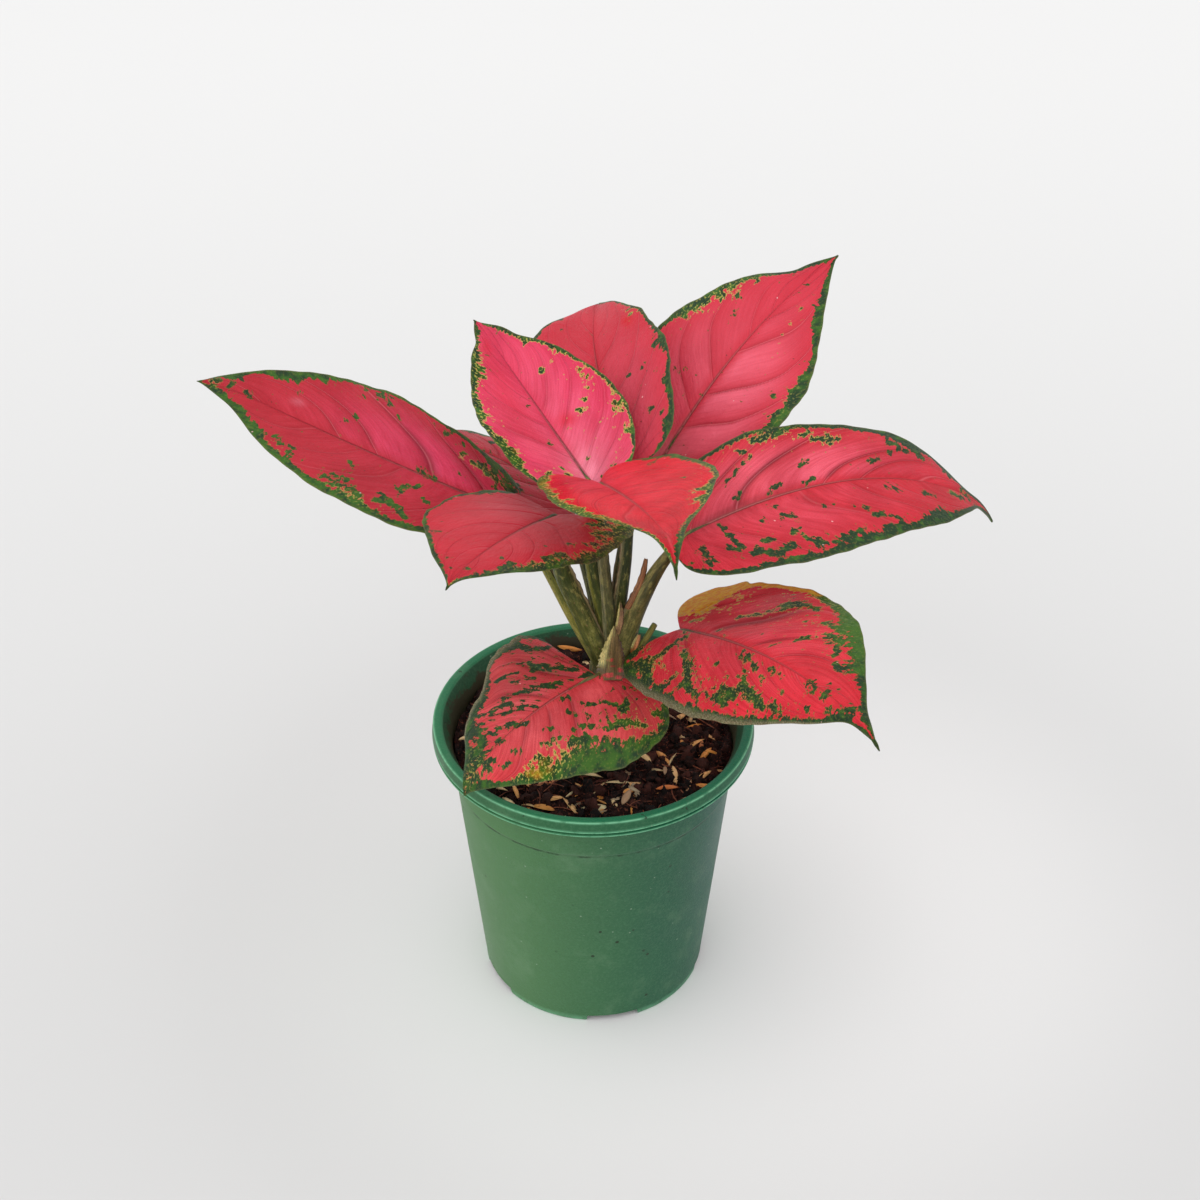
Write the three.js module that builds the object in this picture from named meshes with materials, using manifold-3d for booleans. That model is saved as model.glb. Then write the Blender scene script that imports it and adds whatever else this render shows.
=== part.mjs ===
// Potted chinese evergreen: ten red blades on sheathed petioles, soil and a green nursery pot.
// Millimetres. Z is up, the pot stands on z = 0 and is centred on the Z axis, the viewer is towards -Y.

import * as THREE from 'three';
import { mergeVertices } from 'three/addons/utils/BufferGeometryUtils.js';
import Module from 'manifold-3d';

const wasm = await Module();
wasm.setup();
const { Manifold, Mesh } = wasm;

const { sin, cos, PI, sqrt, max, min, abs } = Math;
const DEG = PI / 180;

// ---- driving dimensions -------------------------------------------------------------------

const GAP = 0.35;               // clear space between touching pieces

const POT_HEIGHT = 126.5;
const POT_FOOT_RADIUS = 46.5;
const POT_RIM_RADIUS = 65;
const POT_WALL = 1.3;
const POT_FLOOR = 1.6;
const POT_SIDES = 48;
const SHOULDER_HEIGHT = 103;    // line where the next pot of a stack would sit
const SHOULDER_RADIUS = 56.4;
const NECK_RADIUS = 58.4;       // wall just below the rim
const RIM_DEPTH = 7;            // height of the turned-down rim
const FOOT_NOTCHES = 5;
const NOTCH_WIDTH = 21.5;
const NOTCH_HEIGHT = 3;
const NOTCH_ANGLE = -80;        // direction of the first notch

const SOIL_LEVEL = 114;
const SOIL_ROUGHNESS = 1.5;
const HULL_COUNT = 26;          // rice hulls lying on the soil
const HULL_LENGTH = 9;
const HULL_WIDTH = 2.8;
const HULL_HEIGHT = 2;
const SEED = 7;

const STEM_X = 5;
const STEM_Y = 3;
const STEM_RADIUS = 6.5;
const STEM_FOOT = 86;           // lower end of the stem inside the soil
const STEM_TOP = 152;
const PETIOLE_SIDES = 8;
const PETIOLE_RINGS = 11;

const BLADE_THICKNESS = 0.8;
const KEEL_HEIGHT = 1.5;        // midrib standing out below the blade
const KEEL_HALF_WIDTH = 2.2;
const BLADE_ROWS = 18;
const BLADE_COLUMNS = [0.4, 0.72, 1];

// Each blade grows from base along its midrib. heading is the compass direction of the midrib seen
// from above, turn how far it swings by the tip. rise is the climb at the base, droop what it loses
// by the tip and hook the extra bend of the drip tip. roll and twist lean the blade sideways. widest
// is the place of the full width along the midrib, shoulder the share of it that the base has. The
// lobes reach back beyond the base. fold is the V of the two halves at the midrib and curl their
// bend towards the margin. taper makes the tip finer. Angles are degrees. petiole lists the points
// that the leaf stalk passes between the stem and the blade, and stalk its radius at both ends.
const LEAVES = [
  {
    name: 'leaf_upper_right',
    base: [28.5, 42, 225],
    heading: 42, turn: -2,
    rise: 46, droop: 33, hook: 0,
    roll: 12.5, twist: -4,
    length: 109, width: 68, skew: 0,
    widest: 0.37, shoulder: 0.35,
    lobeLeft: 7, lobeRight: 9,
    fold: 6, curl: -14, taper: 1.3,
    petiole: [[6, 6, 146], [11.5, 13, 180], [16, 24, 201]],
    stalk: [3.4, 1.9],
  },
  {
    name: 'leaf_top',
    base: [13, 9.5, 237],
    heading: 110, turn: -28,
    rise: 28, droop: 49, hook: 2,
    roll: -16, twist: 0,
    length: 113.5, width: 59.5, skew: 0.03,
    widest: 0.38, shoulder: 0.3,
    lobeLeft: 7, lobeRight: -5,
    fold: 18, curl: -4, taper: 1.2,
    petiole: [[7, 4, 150], [10.5, 6, 181], [13.5, 6, 205]],
    stalk: [3.8, 1.9],
  },
  {
    name: 'leaf_centre',
    base: [-0.5, -4, 240.5],
    heading: 123, turn: 2,
    rise: 20.5, droop: -4, hook: 18,
    roll: -3.5, twist: 0,
    length: 88, width: 59, skew: 0,
    widest: 0.33, shoulder: 0.27,
    lobeLeft: 1, lobeRight: 3,
    fold: 18, curl: -4, taper: 1.2,
    petiole: [[5, 3, 150], [4.5, 4, 172], [2, 1, 198]],
    stalk: [4, 2],
  },
  {
    name: 'leaf_far_left',
    base: [-27, 4, 221],
    heading: 184.5, turn: -7,
    rise: 28, droop: -2, hook: 25,
    roll: -10.5, twist: -10,
    length: 131.5, width: 62, skew: 0,
    widest: 0.44, shoulder: 0.32,
    lobeLeft: 9, lobeRight: -1,
    fold: 8, curl: -12, taper: 1.1,
    petiole: [[3, 4, 148], [-7, 6, 171], [-18, 7, 195]],
    stalk: [4, 1.9],
  },
  {
    name: 'leaf_back_left',
    base: [-9, 24, 212.5],
    heading: 144, turn: 1,
    rise: 19.5, droop: 36, hook: 23,
    roll: 16.5, twist: -5,
    length: 84, width: 48.5, skew: 0,
    widest: 0.36, shoulder: 0.35,
    lobeLeft: 8, lobeRight: 8,
    fold: 6, curl: -14, taper: 1.2,
    petiole: [[4, 6, 146], [1.5, 10, 172], [-3, 14, 192]],
    stalk: [3.4, 1.7],
  },
  {
    name: 'leaf_front_left',
    base: [-13.5, -14.5, 234],
    heading: 241.5, turn: 5,
    rise: 20.5, droop: 14, hook: 23,
    roll: -5.5, twist: 6,
    length: 84.5, width: 66, skew: 0,
    widest: 0.41, shoulder: 0.6,
    lobeLeft: 21, lobeRight: 2,
    fold: 6, curl: -11, taper: 1.5,
    petiole: [[4, 1, 152], [-3, 0, 173], [-12.5, -2, 199]],
    stalk: [4.2, 2],
  },
  {
    name: 'leaf_front',
    base: [2.5, -19, 251],
    heading: 287, turn: -10,
    rise: 24.5, droop: 4, hook: 85,
    roll: 2, twist: 7,
    length: 126.5, width: 58.5, skew: 0,
    widest: 0.41, shoulder: 0.42,
    lobeLeft: 14, lobeRight: 15,
    fold: 20, curl: -12, taper: 1.6,
    petiole: [[6, 1, 150], [7.5, 0, 173], [6, -1, 200]],
    stalk: [4, 2],
  },
  {
    name: 'leaf_right',
    base: [35.5, -10, 222.5],
    heading: 20.5, turn: 7,
    rise: 18, droop: 67, hook: 14,
    roll: 17, twist: 6,
    length: 151, width: 63.5, skew: -0.03,
    widest: 0.29, shoulder: 0.28,
    lobeLeft: 10, lobeRight: 8,
    fold: 7, curl: -12, taper: 1.2,
    petiole: [[9, 2, 150], [17.5, 1, 180], [26.5, -1, 203]],
    stalk: [4.2, 1.7],
  },
  {
    name: 'leaf_lower_right',
    base: [33.5, -10, 178],
    heading: 309, turn: -9,
    rise: 24, droop: 28, hook: 34,
    roll: 15, twist: 7,
    length: 121, width: 74, skew: 0.03,
    widest: 0.38, shoulder: 0.51,
    lobeLeft: 18, lobeRight: 15,
    fold: -3, curl: -7, taper: 1.8,
    petiole: [[7, 0, 140], [15, -3, 150], [24, -6, 163]],
    stalk: [3.6, 2],
  },
  {
    name: 'leaf_lower_left',
    base: [1.5, -21, 164],
    heading: 213, turn: -5,
    rise: -5, droop: 54, hook: 22,
    roll: -14.5, twist: 4,
    length: 72.5, width: 76, skew: 0,
    widest: 0.17, shoulder: 0.53,
    lobeLeft: 18, lobeRight: -5,
    fold: 0, curl: -21, taper: 1.2,
    petiole: [[6, 0, 142], [6, -5, 155], [4.5, -13, 161]],
    stalk: [4.2, 2.4],
  },
];

const STUB = [[8, 2, 146], [16, 1, 157], [23.5, 0, 171]];     // stalk of a leaf that was cut off
const STUB_RADIUS = [3.2, 2.1];

const SHEATH_FOOT = [13.2, 0, 181];                            // dried sheath beside the right stalk
const SHEATH_TIP = [20.4, 0, 204];
const SHEATH_WIDTH = 3.4;
const SHEATH_THICKNESS = 0.8;

const PINK = 0xd8415b;
const COLOURS = { pot: 0x3f8a68, soil: 0x33231c, stems: 0x66702f, dried_sheath: 0xa9785a };

// ---- small helpers ------------------------------------------------------------------------

function randomStream(seed) {
  let state = seed;
  return () => {
    state = (state + 0x6d2b79f5) | 0;
    let t = Math.imul(state ^ (state >>> 15), 1 | state);
    t = (t + Math.imul(t ^ (t >>> 7), 61 | t)) ^ t;
    return ((t ^ (t >>> 14)) >>> 0) / 4294967296;
  };
}

const mix = (a, b, t) => a + (b - a) * t;

// A closed skin over rings of equal length, each ring a closed loop; both ends are capped with a fan.
function tube(rings) {
  const sides = rings[0].length;
  const points = rings.flat();
  const faces = [];
  for (let i = 0; i + 1 < rings.length; i += 1) {
    for (let j = 0; j < sides; j += 1) {
      const k = (j + 1) % sides;
      const a = i * sides + j;
      const b = i * sides + k;
      faces.push([a, b, b + sides], [a, b + sides, a + sides]);
    }
  }
  for (const [ring, last] of [[0, false], [rings.length - 1, true]]) {
    const centre = new THREE.Vector3();
    rings[ring].forEach((p) => centre.addScaledVector(p, 1 / sides));
    const apex = points.push(centre) - 1;
    for (let j = 0; j < sides; j += 1) {
      const a = ring * sides + j;
      const b = ring * sides + ((j + 1) % sides);
      faces.push(last ? [a, b, apex] : [b, a, apex]);
    }
  }
  return solid(points, faces);
}

function solid(points, faces) {
  const geometry = new THREE.BufferGeometry();
  geometry.setFromPoints(points);
  geometry.setIndex(faces.flat());
  return geometry;
}

// A closed body turned round the Z axis from a profile of [radius, height] points.
// The profile starts and ends on the axis.
function turned(profile, sides, heightAt = (i, j, z) => z) {
  const points = [];
  const first = [];
  profile.forEach(([radius, height], i) => {
    first.push(points.length);
    const count = radius === 0 ? 1 : sides;
    for (let j = 0; j < count; j += 1) {
      const angle = (j / sides) * 2 * PI;
      points.push(new THREE.Vector3(radius * cos(angle), radius * sin(angle), heightAt(i, j, height)));
    }
  });
  const faces = [];
  for (let i = 0; i + 1 < profile.length; i += 1) {
    for (let j = 0; j < sides; j += 1) {
      const k = (j + 1) % sides;
      const a = first[i] + (profile[i][0] === 0 ? 0 : j);
      const b = first[i] + (profile[i][0] === 0 ? 0 : k);
      const c = first[i + 1] + (profile[i + 1][0] === 0 ? 0 : k);
      const d = first[i + 1] + (profile[i + 1][0] === 0 ? 0 : j);
      if (a !== b) faces.push([a, b, c]);
      if (c !== d) faces.push([a, c, d]);
    }
  }
  return solid(points, faces);
}

function toBody(geometry) {
  const merged = mergeVertices(geometry, 1e-4);
  const body = new Manifold(new Mesh({
    numProp: 3,
    vertProperties: new Float32Array(merged.attributes.position.array),
    triVerts: new Uint32Array(merged.index.array),
  }));
  return body;
}

function toGeometry(body) {
  const mesh = body.getMesh();
  const geometry = new THREE.BufferGeometry();
  geometry.setAttribute('position', new THREE.Float32BufferAttribute(mesh.vertProperties, 3));
  geometry.setIndex(new THREE.Uint32BufferAttribute(mesh.triVerts, 1));
  return geometry;
}

// ---- blade --------------------------------------------------------------------------------

function pitchAt(leaf, s) {
  const bend = max(0, (s - 0.8) / 0.2);
  return (leaf.rise - leaf.droop * s ** 1.2 - leaf.hook * bend * bend) * DEG;
}

function directionAt(leaf, s) {
  const pitch = pitchAt(leaf, s);
  const compass = (leaf.heading + leaf.turn * s) * DEG;
  return new THREE.Vector3(cos(pitch) * cos(compass), cos(pitch) * sin(compass), sin(pitch));
}

// Point of the midrib and the directions along, across (left) and out of the blade there.
function midribAt(leaf, s) {
  const steps = 60;
  const point = new THREE.Vector3(...leaf.base);
  for (let i = 0; i < steps; i += 1) {
    point.addScaledVector(directionAt(leaf, (s * (i + 0.5)) / steps), (leaf.length * s) / steps);
  }
  const along = directionAt(leaf, s);
  const compass = (leaf.heading + leaf.turn * s) * DEG;
  const level = new THREE.Vector3(-sin(compass), cos(compass), 0);
  const upright = new THREE.Vector3().crossVectors(along, level);
  const roll = (leaf.roll + leaf.twist * s) * DEG;
  const across = level.clone().multiplyScalar(cos(roll)).addScaledVector(upright, sin(roll));
  const out = upright.clone().multiplyScalar(cos(roll)).addScaledVector(level, -sin(roll));
  return { point, along, across, out };
}

function halfWidthAt(leaf, s, side) {
  const full = (leaf.width / 2) * (1 + side * leaf.skew);
  if (s < leaf.widest) {
    const u = (leaf.widest - s) / leaf.widest;
    return full * (leaf.shoulder + (1 - leaf.shoulder) * sqrt(1 - u * u));
  }
  const v = (s - leaf.widest) / (1 - leaf.widest);
  return max(0.5, full * (1 - v ** 1.9) ** leaf.taper);
}

// Point of the blade's middle surface: s runs along the midrib, a from the midrib (0) to the margin (1).
function bladePoint(leaf, frame, s, a, side, extra) {
  const width = halfWidthAt(leaf, s, side) + extra;
  const lobe = side > 0 ? leaf.lobeLeft : leaf.lobeRight;
  const fold = leaf.fold * DEG;
  const curl = leaf.curl * DEG;
  const flat = curl === 0 ? a * cos(fold) : (sin(fold + curl * a) - sin(fold)) / curl;
  const lift = curl === 0 ? a * sin(fold) : (cos(fold) - cos(fold + curl * a)) / curl;
  const back = -lobe * sin((PI / 2) * a) * (1 - s) ** 3;
  return frame.point.clone()
    .addScaledVector(frame.along, back)
    .addScaledVector(frame.across, side * width * flat)
    .addScaledVector(frame.out, width * lift);
}

// The blade as a closed sheet. Both faces carry the same triangles.
function blade(leaf, thickness, keel, extra) {
  const rings = [];
  for (let i = 0; i <= BLADE_ROWS; i += 1) {
    const s = (1 - cos((PI * i) / BLADE_ROWS)) / 2;
    const frame = midribAt(leaf, s);
    const ridge = keel * min(1, s / 0.08) * (1 - s);
    const row = [];
    for (const side of [-1, 1]) {
      const ribbed = min(0.25, KEEL_HALF_WIDTH / halfWidthAt(leaf, s, side));
      const places = [ribbed, ...BLADE_COLUMNS].map((a) => ({ a, side }));
      row.push(...(side < 0 ? places.reverse() : [{ a: 0, side }, ...places]));
    }
    const middle = row.map(({ a, side }) => bladePoint(leaf, frame, s, a, side, extra));
    const upper = middle.map((p) => p.clone().addScaledVector(frame.out, thickness / 2));
    const lower = middle.map((p, j) => {
      const depth = thickness / 2 + (row[j].a === 0 ? ridge : 0);
      return p.clone().addScaledVector(frame.out, -depth);
    });
    rings.push({ upper, lower });
  }
  const across = rings[0].upper.length;
  const points = rings.flatMap(({ upper, lower }) => [...upper, ...lower]);
  const faces = [];
  const at = (i, j, low) => i * across * 2 + (low ? across : 0) + j;
  for (let i = 0; i < BLADE_ROWS; i += 1) {
    for (let j = 0; j + 1 < across; j += 1) {
      faces.push([at(i, j), at(i + 1, j + 1), at(i, j + 1)], [at(i, j), at(i + 1, j), at(i + 1, j + 1)]);
      faces.push([at(i, j, 1), at(i, j + 1, 1), at(i + 1, j + 1, 1)]);
      faces.push([at(i, j, 1), at(i + 1, j + 1, 1), at(i + 1, j, 1)]);
    }
    const e = across - 1;
    faces.push([at(i, 0), at(i, 0, 1), at(i + 1, 0, 1)], [at(i, 0), at(i + 1, 0, 1), at(i + 1, 0)]);
    faces.push([at(i, e), at(i + 1, e, 1), at(i, e, 1)], [at(i, e), at(i + 1, e), at(i + 1, e, 1)]);
  }
  const n = BLADE_ROWS;
  for (let j = 0; j + 1 < across; j += 1) {
    faces.push([at(0, j), at(0, j + 1), at(0, j + 1, 1)], [at(0, j), at(0, j + 1, 1), at(0, j, 1)]);
    faces.push([at(n, j), at(n, j + 1, 1), at(n, j + 1)], [at(n, j), at(n, j, 1), at(n, j + 1, 1)]);
  }
  return solid(points, faces);
}

// ---- stalks -------------------------------------------------------------------------------

// A round stalk through the given points, its radius falling from the first to the last.
function stalk(points, [thick, thin], ringCount = PETIOLE_RINGS) {
  const curve = new THREE.CatmullRomCurve3(points.map((p) => new THREE.Vector3(...p)), false, 'centripetal');
  const rings = [];
  let across = new THREE.Vector3(0, 1, 0);
  for (let i = 0; i < ringCount; i += 1) {
    const t = i / (ringCount - 1);
    const centre = curve.getPointAt(t);
    const along = curve.getTangentAt(t);
    across = across.addScaledVector(along, -across.dot(along)).normalize();
    const other = new THREE.Vector3().crossVectors(along, across);
    const radius = mix(thick, thin, t ** 0.8);
    const ring = [];
    for (let j = 0; j < PETIOLE_SIDES; j += 1) {
      const angle = (j / PETIOLE_SIDES) * 2 * PI;
      ring.push(centre.clone()
        .addScaledVector(across, radius * cos(angle))
        .addScaledVector(other, radius * sin(angle)));
    }
    rings.push(ring);
  }
  return tube(rings);
}

// The petiole ends just under the base of its blade, where the keel takes over.
function petioleOf(leaf) {
  const frame = midribAt(leaf, 0);
  const drop = BLADE_THICKNESS / 2 + GAP + leaf.stalk[1] + 0.05;
  const end = frame.point.clone()
    .addScaledVector(frame.along, 1)
    .addScaledVector(frame.out, -drop);
  return stalk([...leaf.petiole, end.toArray()], leaf.stalk);
}

function driedSheath(extra) {
  const foot = new THREE.Vector3(...SHEATH_FOOT);
  const tip = new THREE.Vector3(...SHEATH_TIP);
  const along = tip.clone().sub(foot).normalize();
  const out = new THREE.Vector3(0, -1, 0);
  const across = new THREE.Vector3().crossVectors(out, along).normalize();
  const rings = [];
  for (let i = 0; i <= 6; i += 1) {
    const t = i / 6;
    const centre = foot.clone().lerp(tip, t).addScaledVector(across, -1.2 * sin(PI * t));
    const half = (SHEATH_WIDTH / 2) * (0.75 + 0.25 * sin(PI * min(1, t * 1.4))) * (1 - t ** 2.5) + 0.35 + extra;
    const deep = SHEATH_THICKNESS / 2 + extra;
    const ends = i === 0 ? -extra : (i === 6 ? extra : 0);
    centre.addScaledVector(along, ends);
    const ring = [[-1, -1], [0, -0.4], [1, -1], [1, 1], [0, 1.6], [-1, 1]].map(([u, v]) => centre.clone()
      .addScaledVector(across, u * half)
      .addScaledVector(out, v * deep));
    rings.push(ring);
  }
  return tube(rings);
}

// ---- pot and soil -------------------------------------------------------------------------

const H = POT_HEIGHT;
const INNER = [
  [POT_FOOT_RADIUS - POT_WALL, POT_FLOOR],
  [SHOULDER_RADIUS - POT_WALL, SHOULDER_HEIGHT - 1],
  [SHOULDER_RADIUS - POT_WALL + 0.8, SHOULDER_HEIGHT + 0.5],
  [NECK_RADIUS - POT_WALL, H - RIM_DEPTH - 0.5],
];

function pot() {
  const profile = [
    [0, 0],
    [POT_FOOT_RADIUS - 0.6, 0],
    [POT_FOOT_RADIUS, 0.6],
    [SHOULDER_RADIUS, SHOULDER_HEIGHT - 1],
    [SHOULDER_RADIUS + 0.8, SHOULDER_HEIGHT + 0.5],
    [NECK_RADIUS, H - RIM_DEPTH],
    [NECK_RADIUS + 0.9, H - 2.6],
    [POT_RIM_RADIUS - 2.4, H - 2.6],
    [POT_RIM_RADIUS - 1.6, H - RIM_DEPTH],
    [POT_RIM_RADIUS, H - RIM_DEPTH],
    [POT_RIM_RADIUS, H - 5.9],
    [POT_RIM_RADIUS - 0.5, H - 5.6],
    [POT_RIM_RADIUS, H - 5.2],
    [POT_RIM_RADIUS - 0.8, H - 0.5],
    [POT_RIM_RADIUS - 3, H],
    [POT_RIM_RADIUS - 4.4, H],
    [POT_RIM_RADIUS - 5.4, H - 0.7],
    ...INNER.toReversed(),
    [0, POT_FLOOR],
  ];
  let body = toBody(turned(profile, POT_SIDES));
  for (let i = 0; i < FOOT_NOTCHES; i += 1) {
    const angle = NOTCH_ANGLE + (360 / FOOT_NOTCHES) * i;
    const box = new THREE.BoxGeometry(10, NOTCH_WIDTH, NOTCH_HEIGHT * 2);
    box.deleteAttribute('uv');
    box.deleteAttribute('normal');
    box.translate(POT_FOOT_RADIUS - 1.5, 0, 0);
    box.rotateZ(angle * DEG);
    body = body.subtract(toBody(box));
  }
  return body;
}

function soil(stemCut) {
  const random = randomStream(SEED);
  const skin = INNER.map(([r, z]) => [r - GAP, z]);
  const [foot, low, high, neck] = skin;
  const edge = [mix(high[0], neck[0], 0.5), SOIL_LEVEL - 2];
  const top = [52, 46, 39, 31, 22, 12].map((r) => [r, SOIL_LEVEL]);
  const profile = [
    [0, foot[1] + GAP],
    [foot[0] - 0.2, foot[1] + GAP],
    [low[0], low[1]],
    [high[0], high[1]],
    edge,
    ...top,
    [0, SOIL_LEVEL],
  ];
  const rough = profile.map((row, i) => (i < 5 ? 0 : SOIL_ROUGHNESS));
  let body = toBody(turned(profile, POT_SIDES / 2 * 2, (i, j, z) => z + rough[i] * (random() * 2 - 1)));
  const hulls = [];
  for (let i = 0; i < HULL_COUNT; i += 1) {
    const radius = 50 * sqrt(random());
    const angle = random() * 2 * PI;
    const shape = new THREE.OctahedronGeometry(1, 0);
    shape.deleteAttribute('uv');
    shape.deleteAttribute('normal');
    const spin = new THREE.Euler((random() - 0.5) * 0.5, (random() - 0.5) * 0.5, random() * 2 * PI, 'ZYX');
    shape.scale(HULL_LENGTH / 2, HULL_WIDTH / 2, HULL_HEIGHT / 2);
    shape.applyQuaternion(new THREE.Quaternion().setFromEuler(spin));
    shape.translate(radius * cos(angle), radius * sin(angle), SOIL_LEVEL + 0.6);
    hulls.push(toBody(shape));
  }
  body = Manifold.union([body, ...hulls]);
  const parts = body.subtract(stemCut).decompose();
  return parts.reduce((a, b) => (a.volume() > b.volume() ? a : b));
}

function stemRings(extra) {
  const rings = [];
  const profile = [
    [STEM_FOOT, 5.5], [SOIL_LEVEL - 6, STEM_RADIUS], [SOIL_LEVEL + 5, STEM_RADIUS],
    [SOIL_LEVEL + 6, STEM_RADIUS + 0.5], [SOIL_LEVEL + 14, STEM_RADIUS], [SOIL_LEVEL + 15, STEM_RADIUS + 0.5],
    [SOIL_LEVEL + 24, STEM_RADIUS], [STEM_TOP, STEM_RADIUS - 1.5],
  ];
  for (const [z, r] of profile) {
    const ring = [];
    for (let j = 0; j < 12; j += 1) {
      const angle = (j / 12) * 2 * PI;
      ring.push(new THREE.Vector3(STEM_X + (r + extra) * cos(angle), STEM_Y + (r + extra) * sin(angle), z));
    }
    rings.push(ring);
  }
  rings[0].forEach((p) => p.setZ(p.z - extra));
  return rings;
}

// ---- the object ---------------------------------------------------------------------------

const group = new THREE.Group();

function add(name, geometry, colour) {
  const material = new THREE.MeshStandardMaterial({ color: colour, roughness: 0.6, metalness: 0 });
  const mesh = new THREE.Mesh(geometry, material);
  mesh.name = name;
  group.add(mesh);
}

const wideStem = toBody(tube(stemRings(GAP + 0.1)));
add('pot', toGeometry(pot()), COLOURS.pot);
add('soil', toGeometry(soil(wideStem)), COLOURS.soil);

const stalks = LEAVES.map((leaf) => toBody(petioleOf(leaf)));
const stub = toBody(stalk(STUB, STUB_RADIUS, 7));
const trunk = toBody(tube(stemRings(0)));
const cuts = LEAVES.map((leaf) => toBody(blade(leaf, BLADE_THICKNESS + 2 * GAP, KEEL_HEIGHT + 0.2, GAP)));
const green = Manifold.union([trunk, stub, ...stalks]);
const stems = green.subtract(Manifold.union(cuts)).subtract(toBody(driedSheath(GAP)));
const pieces = stems.decompose();
add('stems', toGeometry(pieces.reduce((a, b) => (a.volume() > b.volume() ? a : b))), COLOURS.stems);
add('dried_sheath', driedSheath(0), COLOURS.dried_sheath);

for (const leaf of LEAVES) {
  add(leaf.name, blade(leaf, BLADE_THICKNESS, KEEL_HEIGHT, 0), PINK);
}

if (abs(green.decompose().length - 1) > 0) throw new Error('the stalks do not all meet the stem');

export default group;
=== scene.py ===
"""Potted chinese evergreen: ten red blades with green margins, stalks, soil and a green pot.

Shapes are computed in mm, with +Z up and -Y towards the viewer; build() makes them metres.
"""

import bmesh
import bpy
import math
import numpy as np
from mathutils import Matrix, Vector
from types import SimpleNamespace


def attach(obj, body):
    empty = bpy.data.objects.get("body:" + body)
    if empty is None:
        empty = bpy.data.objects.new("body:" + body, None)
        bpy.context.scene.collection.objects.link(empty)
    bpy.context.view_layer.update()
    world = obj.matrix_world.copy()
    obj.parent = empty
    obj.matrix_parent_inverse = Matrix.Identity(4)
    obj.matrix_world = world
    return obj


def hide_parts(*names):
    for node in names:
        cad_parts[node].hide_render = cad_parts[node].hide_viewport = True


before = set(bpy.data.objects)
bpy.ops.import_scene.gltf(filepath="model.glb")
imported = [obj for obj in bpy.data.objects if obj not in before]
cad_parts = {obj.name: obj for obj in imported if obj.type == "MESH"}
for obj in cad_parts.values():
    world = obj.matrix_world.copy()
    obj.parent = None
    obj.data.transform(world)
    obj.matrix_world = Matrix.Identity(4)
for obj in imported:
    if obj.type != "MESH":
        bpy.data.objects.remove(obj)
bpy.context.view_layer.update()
MM = 0.001
TURN = 2 * np.pi
rng = np.random.default_rng(11)
sin, cos, pi, exp, sqrt = np.sin, np.cos, np.pi, np.exp, np.sqrt


def smooth(lo, hi, x):
    t = np.clip((x - lo) / (hi - lo), 0, 1)
    return t * t * (3 - 2 * t)


def bell(x, middle, reach):
    return exp(-(((x - middle) / reach) ** 2))


def rgb(r, g, b):
    """A colour as seen on screen, 0 to 255, as the linear values that shaders take."""
    c = np.array([r, g, b], float) / 255
    return tuple(np.where(c <= 0.04045, c / 12.92, ((c + 0.055) / 1.055) ** 2.4))


def blend(a, b, share):
    """From colour a to colour b by a share for each point."""
    share = np.asarray(share, float)[..., None]
    return np.asarray(a) * (1 - share) + np.asarray(b) * share


# ---- node helpers -------------------------------------------------------------------------


class Value:
    """What one output socket gives. Arithmetic on it adds math nodes."""

    def __init__(self, shader, socket):
        self.shader, self.socket = shader, socket

    def __add__(self, other):
        return self.shader.math("ADD", self, other)

    def __sub__(self, other):
        return self.shader.math("SUBTRACT", self, other)

    def __rsub__(self, other):
        return self.shader.math("SUBTRACT", other, self)

    def __mul__(self, other):
        return self.shader.math("MULTIPLY", self, other)

    def __truediv__(self, other):
        return self.shader.math("DIVIDE", self, other)

    def __abs__(self):
        return self.shader.math("ABSOLUTE", self)


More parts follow.
